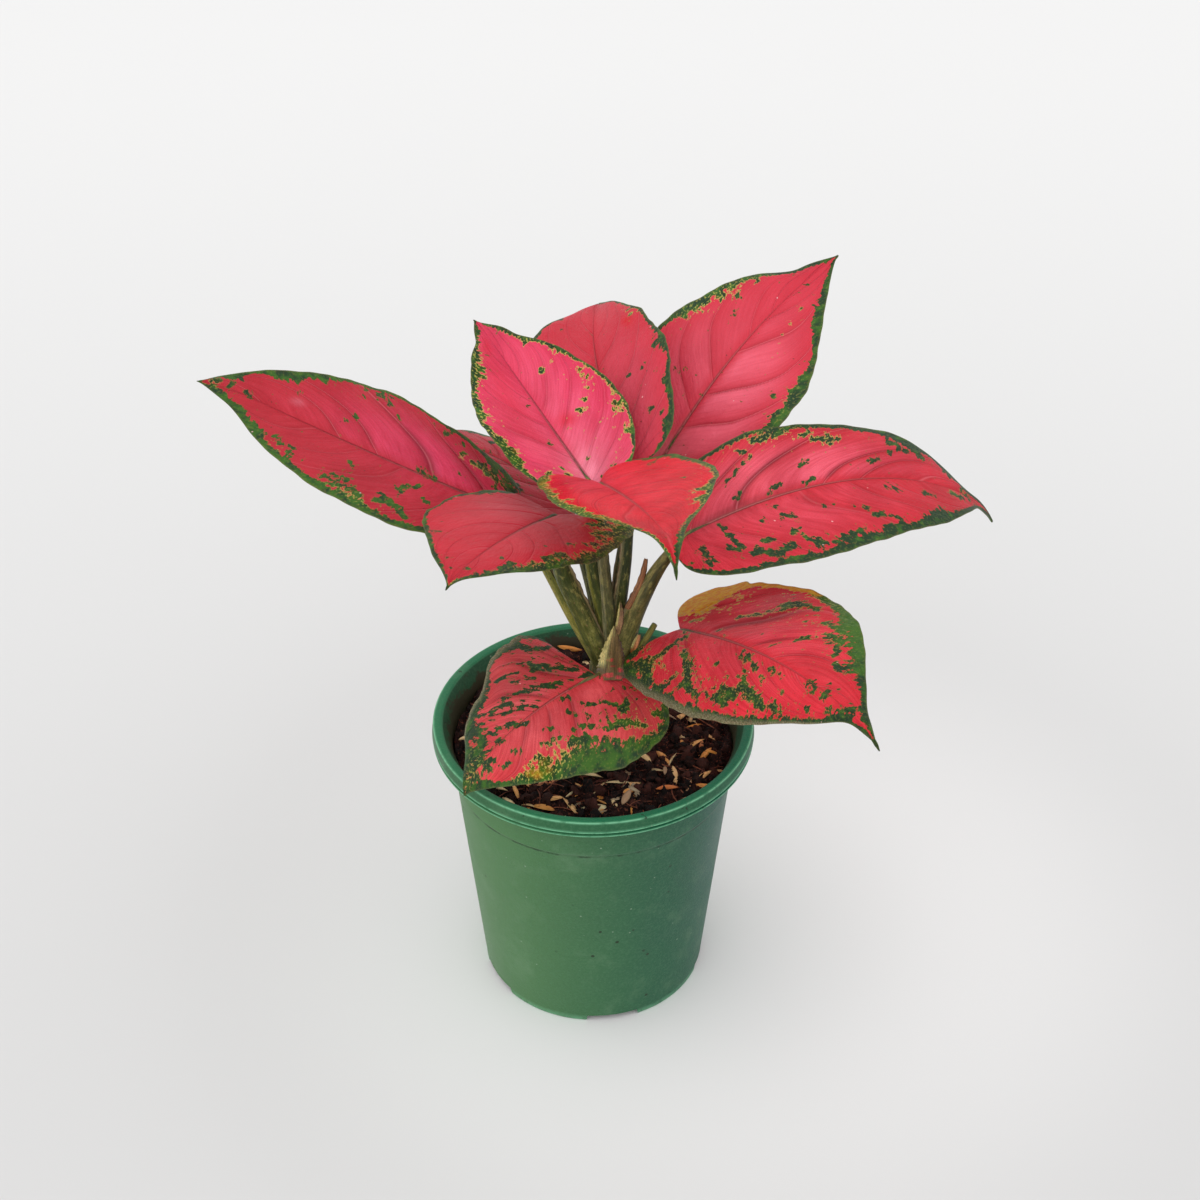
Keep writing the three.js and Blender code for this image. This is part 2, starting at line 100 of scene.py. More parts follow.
class Shader:
    """A material whose nodes are made by short calls; a plain number or tuple sets a socket."""

    def __init__(self, name):
        self.mat = bpy.data.materials.new(name)
        self.mat.use_nodes = True
        self.tree = self.mat.node_tree
        self.tree.nodes.clear()
        self.out = self.tree.nodes.new("ShaderNodeOutputMaterial")

    def node(self, kind, inputs=None, **props):
        n = self.tree.nodes.new("ShaderNode" + kind)
        for k, v in props.items():
            setattr(n, k, v)
        for k, v in (inputs or {}).items():
            self.put(n.inputs[k], v)
        return n

    def put(self, socket, v):
        if isinstance(v, Value):
            self.tree.links.new(v.socket, socket)
        else:
            socket.default_value = (*v, 1.0) if socket.type == "RGBA" and len(v) == 3 else v

    def get(self, node, output=0):
        return Value(self, node.outputs[output])

    def math(self, op, *values, clamp=False):
        return self.get(self.node("Math", dict(enumerate(values)), operation=op, use_clamp=clamp))

    def scale(self, v, by):
        return self.get(self.node("VectorMath", {0: v, 1: by}, operation="MULTIPLY"))

    def distance(self, v, place):
        return self.get(self.node("VectorMath", {0: v, 1: place}, operation="DISTANCE"), "Value")

    def split(self, vector):
        n = self.node("SeparateXYZ", {0: vector})
        return [self.get(n, k) for k in range(3)]

    def joined(self, x, y, z):
        return self.get(self.node("CombineXYZ", {0: x, 1: y, 2: z}))

    def step(self, x, lo, hi, to0=0.0, to1=1.0):
        inputs = dict(enumerate((x, lo, hi, to0, to1)))
        return self.get(self.node("MapRange", inputs, interpolation_type="SMOOTHSTEP"))

    def noise(self, vector, scale=1.0, detail=2.0, rough=0.5, distort=0.0):
        n = self.node("TexNoise", {"Vector": vector, "Scale": scale, "Detail": detail})
        self.put(n.inputs["Roughness"], rough)
        self.put(n.inputs["Distortion"], distort)
        return self.get(n, "Fac")

    def mottle(self, vector, along, across, detail=2.0, rough=0.5, distort=0.0):
        """Noise on a skin laid out in mm: along and across are its grains per mm."""
        return self.noise(self.scale(vector, (along, across, 1)), 1.0, detail, rough, distort)

    def dots(self, vector, scale=1.0):
        """Distance to the nearest of scattered points."""
        return self.get(self.node("TexVoronoi", {"Vector": vector, "Scale": scale}), "Distance")

    def mix(self, share, a, b, blend_type="MIX"):
        n = self.node("Mix", {0: share}, data_type="RGBA", blend_type=blend_type)
        self.put(n.inputs[6], a)
        self.put(n.inputs[7], b)
        return self.get(n, 2)

    def tint(self, share, colour, by):
        return self.mix(share, colour, by, "MULTIPLY")

    def coats(self, colour, *layers):
        """Layers of (share, colour), each over all before it."""
        for share, over in layers:
            colour = self.mix(share, colour, over)
        return colour

    def attr(self, name):
        """A vector attribute and its three parts."""
        vector = self.get(self.node("Attribute", attribute_name=name), "Vector")
        return vector, *self.split(vector)

    def colour(self, name):
        return self.get(self.node("Attribute", attribute_name=name), "Color")

    def place(self):
        return self.get(self.node("TexCoord"), "Object")

    def bump(self, height, distance, strength):
        n = self.node("Bump", {"Height": height, "Distance": distance, "Strength": strength})
        return self.get(n, "Normal")

    def surface(self, **inputs):
        n = self.node("BsdfPrincipled", {k.replace("_", " "): v for k, v in inputs.items()})
        self.tree.links.new(n.outputs[0], self.out.inputs[0])
        return self.mat


# ---- mesh helpers -------------------------------------------------------------------------


def build(name, verts, faces, mats, attrs=None, index=None, sharp=None):
    """A mesh object from points in mm; attrs are per point, index per face, sharp marks points."""
    me = bpy.data.meshes.new(name)
    me.from_pydata((np.asarray(verts) * MM).tolist(), [], [list(map(int, f)) for f in faces])
    for m in mats:
        me.materials.append(m)
    if index is not None:
        me.polygons.foreach_set("material_index", np.asarray(index, np.int32))
    me.polygons.foreach_set("use_smooth", [True] * len(me.polygons))
    for key, values in (attrs or {}).items():
        values = np.asarray(values, np.float32)
        if key.startswith("col_"):
            values = np.c_[values, np.ones(len(values), np.float32)]
            a = me.attributes.new(key, "FLOAT_COLOR", "POINT")
            a.data.foreach_set("color", values.ravel())
        else:
            a = me.attributes.new(key, "FLOAT_VECTOR", "POINT")
            a.data.foreach_set("vector", values.ravel())
    if sharp is not None:
        pairs = np.zeros(len(me.edges) * 2, np.int32)
        me.edges.foreach_get("vertices", pairs)
        me.edges.foreach_set("use_edge_sharp", sharp[pairs.reshape(-1, 2)].all(1))
    me.update()
    ob = bpy.data.objects.new(name, me)
    bpy.context.scene.collection.objects.link(ob)
    return ob


def piece(ob, slot, *nodes):
    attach(ob, "root")
    if nodes:
        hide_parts(*nodes)
    return ob


def around(sides):
    return np.linspace(0, TURN, sides, endpoint=False)


def tube(rings, sides, flip=False, caps=True):
    """Faces of a tube of rings, each of so many points, with a flat cap on each end."""
    i, j = np.meshgrid(np.arange(rings - 1), np.arange(sides), indexing="ij")
    k = (j + 1) % sides
    quads = [i * sides + j, (i + 1) * sides + j, (i + 1) * sides + k, i * sides + k]
    quads = np.stack(quads, -1).reshape(-1, 4)
    first, last = np.arange(sides), np.arange((rings - 1) * sides, rings * sides)
    if flip:
        quads, last = quads[:, ::-1], last[::-1]
    else:
        first = first[::-1]
    return quads.tolist() + ([first.tolist(), last.tolist()] if caps else [])


def turned(rings, centres, flip=False):
    """Points and faces of a closed turned form; centres are the points that close its two ends."""
    n, sides = rings.shape[:2]
    first, last, end = n * sides, n * sides + 1, (n - 1) * sides
    j = np.arange(sides)
    k = (j + 1) % sides
    if flip:
        j, k = k, j
    fans = [np.stack([0 * j + first, j, k], -1), np.stack([0 * j + last, end + k, end + j], -1)]
    faces = tube(n, sides, flip, caps=False) + np.vstack(fans).tolist()
    return np.vstack([rings.reshape(-1, 3), centres]), faces


def ringed(profile, angle, wobble=1.0):
    """Rings of points from rows of (radius, height)."""
    r, z = profile[:, :1], profile[:, 1:2]
    return np.stack([r * cos(angle) * wobble, r * sin(angle) * wobble, z + 0 * angle], -1)


def stacked(shape, *values):
    """Values that change by row, by column or not at all, as one vector per point."""
    v = np.stack([np.broadcast_to(v, shape) for v in values], -1)
    return v.reshape(-1, len(values)).astype(float)


def join(parts):
    """Several (points, faces, attributes) as one."""
    verts, faces, n = [], [], 0
    attrs = {}
    for v, f, a in parts:
        verts.append(np.asarray(v))
        faces += [[int(x) + n for x in q] for q in f]
        n += len(v)
        for k, val in a.items():
            attrs.setdefault(k, []).append(np.asarray(val))
    return np.vstack(verts), faces, {k: np.vstack(v) for k, v in attrs.items()}


def rotation(yaw, pitch, roll):
    cy, sy, cp, sp, cr, sr = cos(yaw), sin(yaw), cos(pitch), sin(pitch), cos(roll), sin(roll)
    return np.array([[cy * cp, cy * sp * sr - sy * cr, cy * sp * cr + sy * sr],
                     [sy * cp, sy * sp * sr + cy * cr, sy * sp * cr - cy * sr],
                     [-sp, cp * sr, cp * cr]])


# ---- leaves -------------------------------------------------------------------------------

# The midrib starts at base and goes length mm towards heading (degrees from +X, changed by
# turn along the way). It rises by rise, less droop, and hook bends its tip down. roll and twist
# turn the blade about it. width and skew, widest, shoulder, taper and shape give the outline, lobes
# how far the base reaches back on the left and right. fold and curl are angles of the halves, and
# quilt is the height of the bulges between side veins, whose direction slope gives.
# Places on a blade are in percent: along from base 0 to tip 100, across from the right margin -100
# to the left margin 100.
# - shape: (side, along, reach, change of the width)
# - left, right: (along, across), where the green margin starts
# - flecks: (along, across, size in mm), or with two ends (along, across, along, across, size), of
#   green; islands the same of red
# - spots: (along, across, reach along, reach across, amount) of scattered green; gold the same of
#   yellow, shade of dark green, streaky of green that follows the veins, and tones of another red,
#   which on leaf_front are painted highlight and painted shade
# near is how much green is scattered near the margin, firm how sharply the margin ends, crisp the
# contrast in the red, dark how dark the green is, rib how clearly the midrib shows, and pale is
# (side, start across 0 to 1) of a margin that has lost its colour.
# petiole: points of the stalk, stalk: its radii, skin: its colours low, high, left and right,
# the lighter left and darker right partly painted light and shade, and wing: size of the sheath
# edges left and right, and where they end.
# pink is the red ground and light the lighter red of the bulges, partly pigment and partly painted
# highlight.
LEAF_DEFAULTS = dict(
    hook=0, twist=0, skew=0, taper=1.2, firm=1.1, crisp=1, dark=0.6, rib=1, pale=None,
    islands=[], spots=[], shade=[], streaky=[], tones=[],
    skin=((110, 108, 52), (60, 72, 34), (100, 100, 54), (46, 54, 26)), wing=(0.6, 0.6),
)
LEAVES = [
    dict(
        name="leaf_upper_right", base=(28.5, 42, 225), heading=42, turn=-2, rise=46, droop=33,
        roll=12.5, twist=-4, length=109, width=68, widest=0.37, shoulder=0.35, lobes=(13, 11),
        fold=6, curl=-14, taper=1.3, quilt=(0.5, 1.1), slope=(0.32, 0.3),
        shape=[(1, 85, 6, -28), (1, 40, 12, 3), (-1, 45, 15, 6)],
        petiole=[(9, 6, 148), (9.6, 13, 180), (13.5, 24, 201)], stalk=(3.4, 1.9), wing=(0.3, 0.3),
        skin=((112, 110, 52), (58, 70, 34), (92, 92, 50), (44, 52, 26)),
        pink=(206, 46, 64), light=(236, 100, 120), near=0.22, firm=1.8,
        left=[(0,90), (45,93), (50,85), (60,85), (70,82), (80,70), (88,55), (93,10), (100,0)],
        right=[(0,80), (25,92), (35,85), (50,85), (60,92), (70,75), (80,68), (90,60), (95,40),
            (100,0)],
        flecks=[(31,42,2.4), (31,20,1), (56,38,1.8), (58,42,1.3), (63,62,2), (60,82,2.4),
            (55,88,2.4), (52,82,1.8), (48,86,2), (65,84,1.6), (72,72,1.4), (82,-18,1.3),
            (60,-38,1), (65,-40,1.3), (72,-42,1), (76,-67,1.3), (53,-46,1.3), (32,-45,1),
            (40,-70,1.5), (30,-88,1.6), (35,-92,3), (45,-88,3), (50,-90,2.4), (54,-82,1),
            (25,3,0.9), (55,-8,0.8), (70,-85,2.5)],
        spots=[(60,75,15,20,24), (42,-85,15,12,20)],
        gold=[(60,80,20,25,80), (60,-40,25,20,60), (40,-85,25,15,40)],
        tones=[((25,50,20,30,35), (196,64,84)), ((2,0,8,50,60), (200,110,118))],
    ),
    dict(
        name="leaf_top", base=(13, 9.5, 237), heading=110, turn=-28, rise=28, droop=46, hook=2,
        roll=-16, length=113.5, width=59.5, skew=0.03, widest=0.38, shoulder=0.3, lobes=(7, -1.5),
        fold=18, curl=-4, quilt=(0.3, 0.4), slope=(0.3, 0.3),
        shape=[(-1, 42, 15, 5), (-1, 66, 5, 5), (-1, 10, 10, 6)],
        petiole=[(8, 4, 150), (10.4, 5, 181), (12.8, 6, 205)], stalk=(3.6, 1.9),
        wing=(1.9, 0, 0.92),
        skin=((96, 100, 46), (44, 60, 26), (124, 124, 88), (34, 46, 20)),
        pink=(202, 38, 57), light=(220, 78, 98), near=0.16, dark=0.7,
        left=[(0,92), (30,95), (70,93), (90,85), (100,30)],
        right=[(0,80), (10,85), (25,92), (35,94), (45,88), (50,92), (70,93), (85,85), (100,30)],
        flecks=[(17,-60,1.8), (17,-67,1.3), (35,-40,1.6), (35,-60,1.2), (31,-77,1.4), (36,-66,1),
            (50,-57,1), (42,-85,2.4), (10,-90,2.4), (25,-90,1.6), (14,-77,1), (66,-78,1.6),
            (70,-88,1.6), (78,85,2), (70,60,1)],
        gold=[(68,-80,10,20,80)],
        tones=[((63,-66,3.5,10,100), (206,14,30)), ((20,-50,30,40,50), (186,66,84))],
    ),
    dict(
        name="leaf_centre", base=(-0.5, -4, 240.5), heading=123, turn=2, rise=20.5, droop=-4,
        hook=18, roll=-3.5, length=88, width=59, widest=0.33, shoulder=0.27, lobes=(1, 3), fold=18,
        curl=-4, quilt=(0.3, 0.35), slope=(0.28, 0.3),
        shape=[(1, 25, 10, -5), (1, 87, 5, -20), (-1, 83, 6, -15)],
        petiole=[(5, 3, 150), (4, 3, 174), (-0.6, 0, 203)], stalk=(3.6, 1.9), wing=(0, 0.5),
        skin=((92, 98, 44), (50, 66, 26), (146, 146, 58), (44, 54, 24)),
        pink=(222, 62, 94), light=(242, 116, 146), near=0.2, crisp=1.7,
        left=[(0,80), (5,95), (15,88), (30,88), (50,90), (60,86), (70,78), (80,74), (90,50),
            (94,10), (100,0)],
        right=[(0,60), (5,92), (20,95), (50,94), (60,93), (70,88), (80,80), (90,62), (95,30),
            (100,0)],
        flecks=[(12,-17,1.2), (34,-42,1.7), (38,-57,1.4), (42,-70,1.4), (47,-78,1.8), (52,-83,1.8),
            (60,-42,1.5), (27,-84,2.4), (30,-86,2), (16,-90,1.6), (10,-47,0.9), (7,40,2.4),
            (10,62,1.8), (11,32,1.3), (25,20,1.4), (47,12,1.4), (41,43,1), (25,87,3.4),
            (30,87,2.6), (20,88,2.4), (47,88,2), (52,90,2), (67,74,2.3), (70,70,2), (77,76,3),
            (64,-92,2), (77,-80,1.5), (4,-60,2), (2,-35,1.4)],
        gold=[(70,80,25,25,100), (25,85,25,30,100), (45,-85,50,30,110), (10,40,15,50,80),
            (40,-40,30,30,90)],
        tones=[((5,-10,14,35,55), (246,158,176)), ((33,-22,3.5,12,70), (214,20,46)),
            ((50,40,35,30,40), (220,24,48)), ((83,35,5,20,50), (206,20,42))],
    ),
    dict(
        name="leaf_far_left", base=(-27, 4, 221), heading=184.5, turn=-7, rise=28, droop=-2,
        hook=25, roll=-10.5, twist=-10, length=131.5, width=62, widest=0.44, shoulder=0.32,
        lobes=(9, -1), fold=8, curl=-12, taper=1.1, quilt=(0.2, 1.2), slope=(0.25, 0.22),
        shape=[(1, 40, 25, -3), (-1, 45, 20, 6), (1, 88, 6, -15)],
        petiole=[(4, 3, 150), (-6.9, 5.5, 171), (-18, 7, 195)], stalk=(3.2, 1.6), wing=(0.3, 0.3),
        skin=((156, 146, 66), (118, 122, 50), (166, 158, 84), (60, 66, 26)),
        pink=(188, 41, 54), light=(220, 64, 94), near=0.16, crisp=1.7, firm=1.8, dark=0.5,
        left=[(0,90), (30,88), (40,90), (50,84), (60,86), (70,84), (78,78), (82,60), (90,42),
            (95,10), (100,0)],
        right=[(0,75), (15,88), (30,95), (50,95), (60,93), (70,82), (80,80), (86,86), (90,72),
            (95,80), (100,30)],
        flecks=[(33,25,40,43,1.8), (39,43,2.6), (31,47,32,43,2), (38,72,44,62,1.6),
            (36,85,38,78,1.7), (40,70,45,75,1.6), (50,80,60,78,2.2), (53,65,57,70,2.6),
            (52,38,54,34,1.6), (70,75,75,62,2), (69,60,70,63,1.2), (78,70,80,75,2),
            (85,-3,86,-10,1.7), (91,-15,91,-25,2.6), (94,-35,95,-30,1.8), (12,-55,15,-65,2.6),
            (10,-60,17,-60,1.7), (9,-35,9.5,-75,1.4), (10,-85,11,-90,2.4), (4,-50,6,-90,3.2),
            (21,-25,1.7), (21,-62,2), (21,-80,2.2), (27,-82,26,-86,2), (28,-3,33,-6,2.1),
            (42,-62,43,-65,1.7), (46,-82,49,-88,2.8), (55,-39,2.1), (57,-28,1.4), (54,-75,1.7),
            (54,-90,1.5), (66,-83,67,-86,1.7), (72,-52,1.4), (74,-85,80,-85,3), (90,-85,92,-70,3)],
        spots=[(8,-65,10,25,26), (42,72,10,15,20)],
        gold=[(15,-55,10,20,70), (50,85,12,10,55), (75,80,6,10,45), (97,0,4,100,60)],
        tones=[((50,50,40,40,50), (176,42,54)), ((32,-35,20,35,35), (222,72,110)),
            ((72,-32,2,8,35), (222,130,144))],
    ),
    dict(
        name="leaf_back_left", base=(-9, 24, 212.5), heading=144, turn=1, rise=19.5, droop=36,
        hook=23, roll=16.5, twist=-5, length=84, width=48.5, widest=0.36, shoulder=0.35,
        lobes=(8, 8), fold=6, curl=-14, quilt=(0.8, 0.8), slope=(0.3, 0.3),
        shape=[(1, 87, 5, -20), (-1, 87, 5, -20)],
        petiole=[(4, 6, 146), (1.5, 10, 172), (-3, 14, 192)], stalk=(3.4, 1.7),
        pink=(184, 38, 52), light=(206, 66, 84), near=0.25,
        left=[(0,80), (30,80), (70,75), (90,50), (95,10), (100,0)],
        right=[(0,80), (20,80), (60,78), (80,65), (90,50), (95,10), (100,0)],
        flecks=[(25,60,3), (35,40,2), (45,70,2), (60,50,2), (30,-50,3), (42,-60,2), (55,-50,3)],
        spots=[(30,0,30,70,42)],
        gold=[(30,-60,20,30,50)],
    ),
    dict(
        name="leaf_front_left", base=(-13.5, -14.5, 234), heading=241.5, turn=5, rise=20.5,
        droop=14, hook=23, roll=-5.5, twist=6, length=84.5, width=66, widest=0.41, shoulder=0.6,
        lobes=(21, 2), fold=6, curl=-11, taper=1.5, quilt=(0.25, 0.3), slope=(0.35, 0.4),
        shape=[(-1, 85, 10, 5)],
        petiole=[(5, 1, 152), (-2, 0, 173), (-11.5, -2, 199)], stalk=(4.6, 2.4), wing=(0, 0.9),
        skin=((112, 112, 52), (56, 72, 28), (84, 92, 40), (52, 62, 28)),
        pink=(202, 40, 56), light=(212, 70, 82), near=0.12,
        left=[(0,60), (12,74), (20,84), (30,84), (50,78), (60,72), (70,66), (80,60), (90,50),
            (95,20), (100,0)],
        right=[(0,78), (10,90), (30,95), (50,95), (60,90), (80,82), (85,75), (90,80), (95,50),
            (100,0)],
        flecks=[(3,40,5,55,2.2), (8,62,12,50,2.6), (15,80,20,66,2.2), (10,85,2.6),
            (22,72,25,80,1.8), (38,60,2), (47,46,1.4), (50,72,58,70,2.2), (30,78,34,74,1.6),
            (68,34,1.2), (84,10,1.6), (80,-58,1.8), (87,-45,1), (62,-82,1.8), (10,-86,2),
            (70,60,75,64,1.6)],
        spots=[(6,75,15,25,55), (55,75,20,15,20)],
        gold=[(10,75,25,35,110), (60,80,30,20,50), (97,0,5,100,110)],
        tones=[((8,60,15,45,70), (198,26,34)), ((15,-45,25,50,35), (166,62,72))],
    ),
    dict(
        name="leaf_front", base=(2.5, -19, 251), heading=287, turn=-10, rise=24.5, droop=4,
        hook=85, roll=2, twist=7, length=126.5, width=58.5, widest=0.41, shoulder=0.42,
        lobes=(14, 15), fold=20, curl=-12, taper=1.6, quilt=(0.2, 0.2), slope=(0.4, 0.4),
        shape=[(1, 50, 12, 5), (-1, 84, 8, -35), (1, 86, 6, -15)],
        petiole=[(6.5, 0, 152), (6.2, 0, 176), (4, -1, 203)], stalk=(2.9, 1.5), wing=(0.4, 0.6),
        skin=((84, 88, 46), (104, 102, 70), (138, 134, 100), (64, 68, 38)),
        pink=(226, 23, 43), light=(236, 54, 68), near=0.12, crisp=2.5, dark=0.5,
        left=[(0,86), (10,82), (20,90), (50,92), (60,84), (68,86), (75,88), (80,66), (86,50),
            (90,20), (93,0), (100,0)],
        right=[(0,80), (15,86), (30,90), (50,86), (60,80), (65,70), (75,70), (83,75), (90,75),
            (95,30), (100,0)],
        flecks=[(15,72,2.6), (43,62,1.6), (43,-80,2.4), (60,75,3), (67,82,3), (78,90,2),
            (35,-90,2), (55,-85,2), (27,-86,1.5), (20,93,1.5), (12,-90,2), (25,72,0.9)],
        gold=[(60,85,30,30,90), (60,-85,50,30,130), (15,-80,20,40,90)],
        # tones: the lighter red in the middle and along the midrib near the tip is painted
        # highlight, the darker red on either side near the tip painted shade
        tones=[((3,0,10,30,40), (214,70,84)), ((10,-50,20,50,50), (200,50,70)),
            ((35,20,25,30,50), (234,62,76)), ((72,40,15,30,45), (188,18,34)),
            ((78,-40,15,30,50), (184,22,38)), ((88,0,10,14,50), (240,96,104))],
    ),
    dict(
        name="leaf_right", base=(35.5, -10, 222.5), heading=20.5, turn=7, rise=18, droop=67,
        hook=14, roll=17, twist=6, length=151, width=63.5, skew=-0.03, widest=0.29, shoulder=0.28,
        lobes=(10, 8), fold=7, curl=-12, quilt=(1.3, 0.3), slope=(0.34, 0.2),
        shape=[(1, 66, 10, 10), (1, 88, 6, -50), (-1, 90, 6, -35), (-1, 15, 8, -4),
            (-1, 70, 8, 5)],
        petiole=[(9, 2, 150), (17, 1, 180), (26.5, -1, 203)], stalk=(5, 1.8), wing=(0.9, 0.3),
        skin=((128, 122, 66), (78, 78, 44), (138, 130, 76), (52, 50, 26)),
        pink=(205, 35, 50), light=(236, 92, 112), near=0.2, crisp=2.3, firm=1.8, dark=0.75,
        left=[(0,75), (15,92), (30,93), (45,90), (60,86), (65,75), (70,72), (75,82), (80,60),
            (84,40), (90,10), (100,0)],
        right=[(0,85), (15,90), (30,90), (45,84), (50,86), (60,85), (70,74), (80,75), (85,65),
            (90,40), (94,10), (100,0)],
        flecks=[(17,44,26,66,1.4), (16,17,17.5,20,1.6), (23,7,27,13,1.6), (34,30,37,38,1.4),
            (33,5,36,10,1.2), (53,27,56,33,1.9), (60,45,61,50,1.5), (45,62,46,80,1.8),
            (42,72,48,70,1.8), (40,80,42,86,1.5), (62,70,66,60,2.2), (70,60,72,65,1.8),
            (78,60,80,50,1.9), (68,85,70,80,2.8), (84,10,85,-20,2.8), (78,-20,82,-28,2.4),
            (28,85,36,90,1.7), (24,80,25,75,1.3), (8.5,-12,10,-25,1.7), (10,-25,12,-55,1.4),
            (12,-55,13,-62,1.3), (10,-55,12,-60,1.8), (19,-30,1.8), (21,-10,23,-15,1.5),
            (25,-30,27,-42,2), (24,-33,2), (4,-45,5,-75,1.8), (3,-50,1.6), (5,-72,2.2),
            (18,-58,20,-60,1.7), (25,-58,27,-55,1.5), (15,-72,20,-80,1.8), (20,-80,24,-75,1.9),
            (22,-93,26,-96,1.9), (27,-62,30,-85,1.4), (30,-75,31,-80,1.7), (35,-33,1.4),
            (38,-32,1.4), (43,-42,1.2), (45,-48,47,-60,1.8), (47,-60,50,-65,1.8),
            (55,-18,58,-25,2), (66,-32,70,-36,1.8), (49,-86,54,-92,2.4), (52,-70,55,-78,1.9),
            (62,-95,70,-70,2.8), (35,-85,42,-80,2.4)],
        spots=[(12,-70,15,25,22), (40,-85,20,15,20), (65,70,12,20,24), (30,85,20,15,14)],
        gold=[(30,80,20,30,50), (45,60,15,30,40), (80,0,8,40,50), (30,-60,30,30,30)],
        tones=[((10,5,14,5,60), (120,40,44)), ((22,35,18,30,35), (226,92,106)),
            ((7,0,10,20,50), (176,60,74))],
    ),
    dict(
        name="leaf_lower_right", base=(33.5, -10, 178), heading=309, turn=-9, rise=24, droop=28,
        hook=34, roll=15, twist=7, length=121, width=74, skew=0.03, widest=0.38, shoulder=0.51,
        lobes=(18, 15), fold=-3, curl=-7, taper=1.8, quilt=(0.9, 0.5), slope=(0.3, 0.45),
        shape=[(1, 8, 8, 6), (1, 60, 15, 4), (-1, 88, 6, -40), (1, 88, 5, -15), (-1, 45, 10, -3),
            (1, 3.5, 1.6, 4), (1, 11, 2, 3.5), (1, 17, 1.8, 2), (1, 14, 1.2, -2)],
        petiole=[(7, 0, 140), (15, -3, 150), (24, -6, 163)], stalk=(3.6, 2),
        pink=(228, 46, 60), light=(238, 80, 96), near=0.15, crisp=2.4, firm=1.3, dark=0.65,
        pale=(-1, 0.95),
        left=[(0,55), (5,62), (12,85), (30,93), (45,88), (50,80), (55,74), (62,68), (70,62),
            (75,68), (82,66), (86,45), (90,10), (100,0)],
        right=[(0,40), (5,50), (12,60), (20,68), (30,78), (40,84), (50,86), (60,82), (70,76),
            (78,76), (82,55), (88,50), (92,10), (100,0)],
        flecks=[(22,34,27,44,1.6), (27,44,31,56,1.3), (33,66,36,76,2.7), (36,77,42,80,2.2),
            (18.5,10,1.8), (5,15,9,22,1.4), (22,6,1.2), (44,57,1.2), (48,33,50,42,1.2),
            (50,72,56,75,1.6), (35.5,36,1), (36,21,0.96), (42,12,44,22,0.96), (48,9,1),
            (55,60,60,68,2.1), (60,68,63,50,1.6), (66,45,70,50,2.1), (69,50,70,65,1.6),
            (75,22,1.3), (71,20,0.96), (83,30,1.6), (66,-3,69,-10,2.7), (69,-10,70,-20,1.4),
            (73,-2,74,-10,2.4), (83,-2,85,3,2.7), (4,-6,8,-15,1.8), (8,-15,8,-42,2.2),
            (8,-42,10,-65,2.7), (10,-65,14,-85,3.4), (17,-38,24,-50,2.6), (24,-50,29,-68,1.9),
            (29,-68,35,-75,1.4), (36,-10,40,-13,2.9), (40,-13,46,-20,2.4), (43,-28,48,-48,1.6),
            (48,-48,55,-55,2.2), (55,-55,60,-68,1.9), (62,-62,66,-72,1.9), (32,-33,1.5),
            (50,-12,56,-16,1.9), (61,-40,1.6), (50,-25,53,-35,1.2), (40,-42,1.2), (43,-38,1.2),
            (44,-60,48,-62,2.2), (44,-68,47,-74,2.2), (73,-52,1.9), (79,-40,1.6),
            (83,-50,85,-70,2.9), (22,-60,23,-80,1.8), (5,-70,10,-72,1.6)],
        islands=[(3,-15,6,-42,4), (4,-70,3.6), (10,-60,3.4), (12,-70,18,-74,3.2),
            (13,-46,20,-56,3.4), (22,-66,25,-80,3.2), (30,-82,34,-86,2.6), (2,-88,2.2),
            (10,-86,2.4), (17,-88,2.2), (12,56,3.8), (15,84,18,92,3.2), (20,88,26,93,2.8),
            (9,84,1.5)],
        spots=[(0,78,7,42,100), (6,-42,12,30,50), (12,-75,16,25,72), (33,-80,20,16,52),
            (50,-60,20,20,42), (45,55,25,20,22), (30,75,15,15,20), (80,-10,10,60,20),
            (20,-40,15,20,20), (62,60,12,15,20)],
        gold=[(0,76,15,55,320), (14,98,12,20,260), (28,98,12,8,240), (12,50,10,25,120),
            (35,50,40,50,50), (45,-50,45,50,45), (10,-60,15,30,40)],
        shade=[(60,90,20,25,-45), (85,80,10,40,20), (15,-60,25,50,10)],
        tones=[((12,30,12,30,60), (186,22,30)), ((14,82,20,26,35), (194,28,40)),
            ((60,20,25,30,30), (222,60,66))],
    ),
    dict(
        name="leaf_lower_left", base=(1.5, -21, 164), heading=213, turn=-5, rise=-5, droop=54,
        hook=22, roll=-14.5, twist=4, length=72.5, width=76, widest=0.17, shoulder=0.53,
        lobes=(18, -5), fold=0, curl=-21, quilt=(0.6, 0.8), slope=(0.25, 0.3),
        shape=[(-1, 53, 7, -10), (-1, 75, 8, 8), (1, 30, 10, 2)],
        petiole=[(6, 0, 142), (6, -5, 155), (4.5, -13, 160)], stalk=(4.2, 2.4),
        skin=((120, 112, 66), (104, 98, 58), (120, 118, 70), (70, 66, 38)),
        pink=(224, 64, 70), light=(234, 106, 110), near=0.1, crisp=2.6, firm=1.4, rib=0.6,
        pale=(-1, 0.96),
        left=[(0,80), (10,88), (17,80), (22,72), (30,56), (40,54), (50,62), (62,62), (68,72),
            (75,80), (79,70), (82,50), (86,25), (100,0)],
        right=[(0,88), (20,88), (40,88), (50,78), (60,72), (65,60), (70,50), (80,42), (85,20),
            (100,0)],
        flecks=[(8,45,13,50,1.6), (12,75,18,60,1.9), (11,50,14,30,1.3), (3,90,6,75,1.3),
            (20,62,24,58,1.3), (20,40,1.2), (18,30,21,20,1.2), (24,35,0.96), (22,8,25,6,1.3),
            (28,30,29,20,1.3), (27,50,30,45,1.5), (34,43,1.3), (33,58,38,55,1.9),
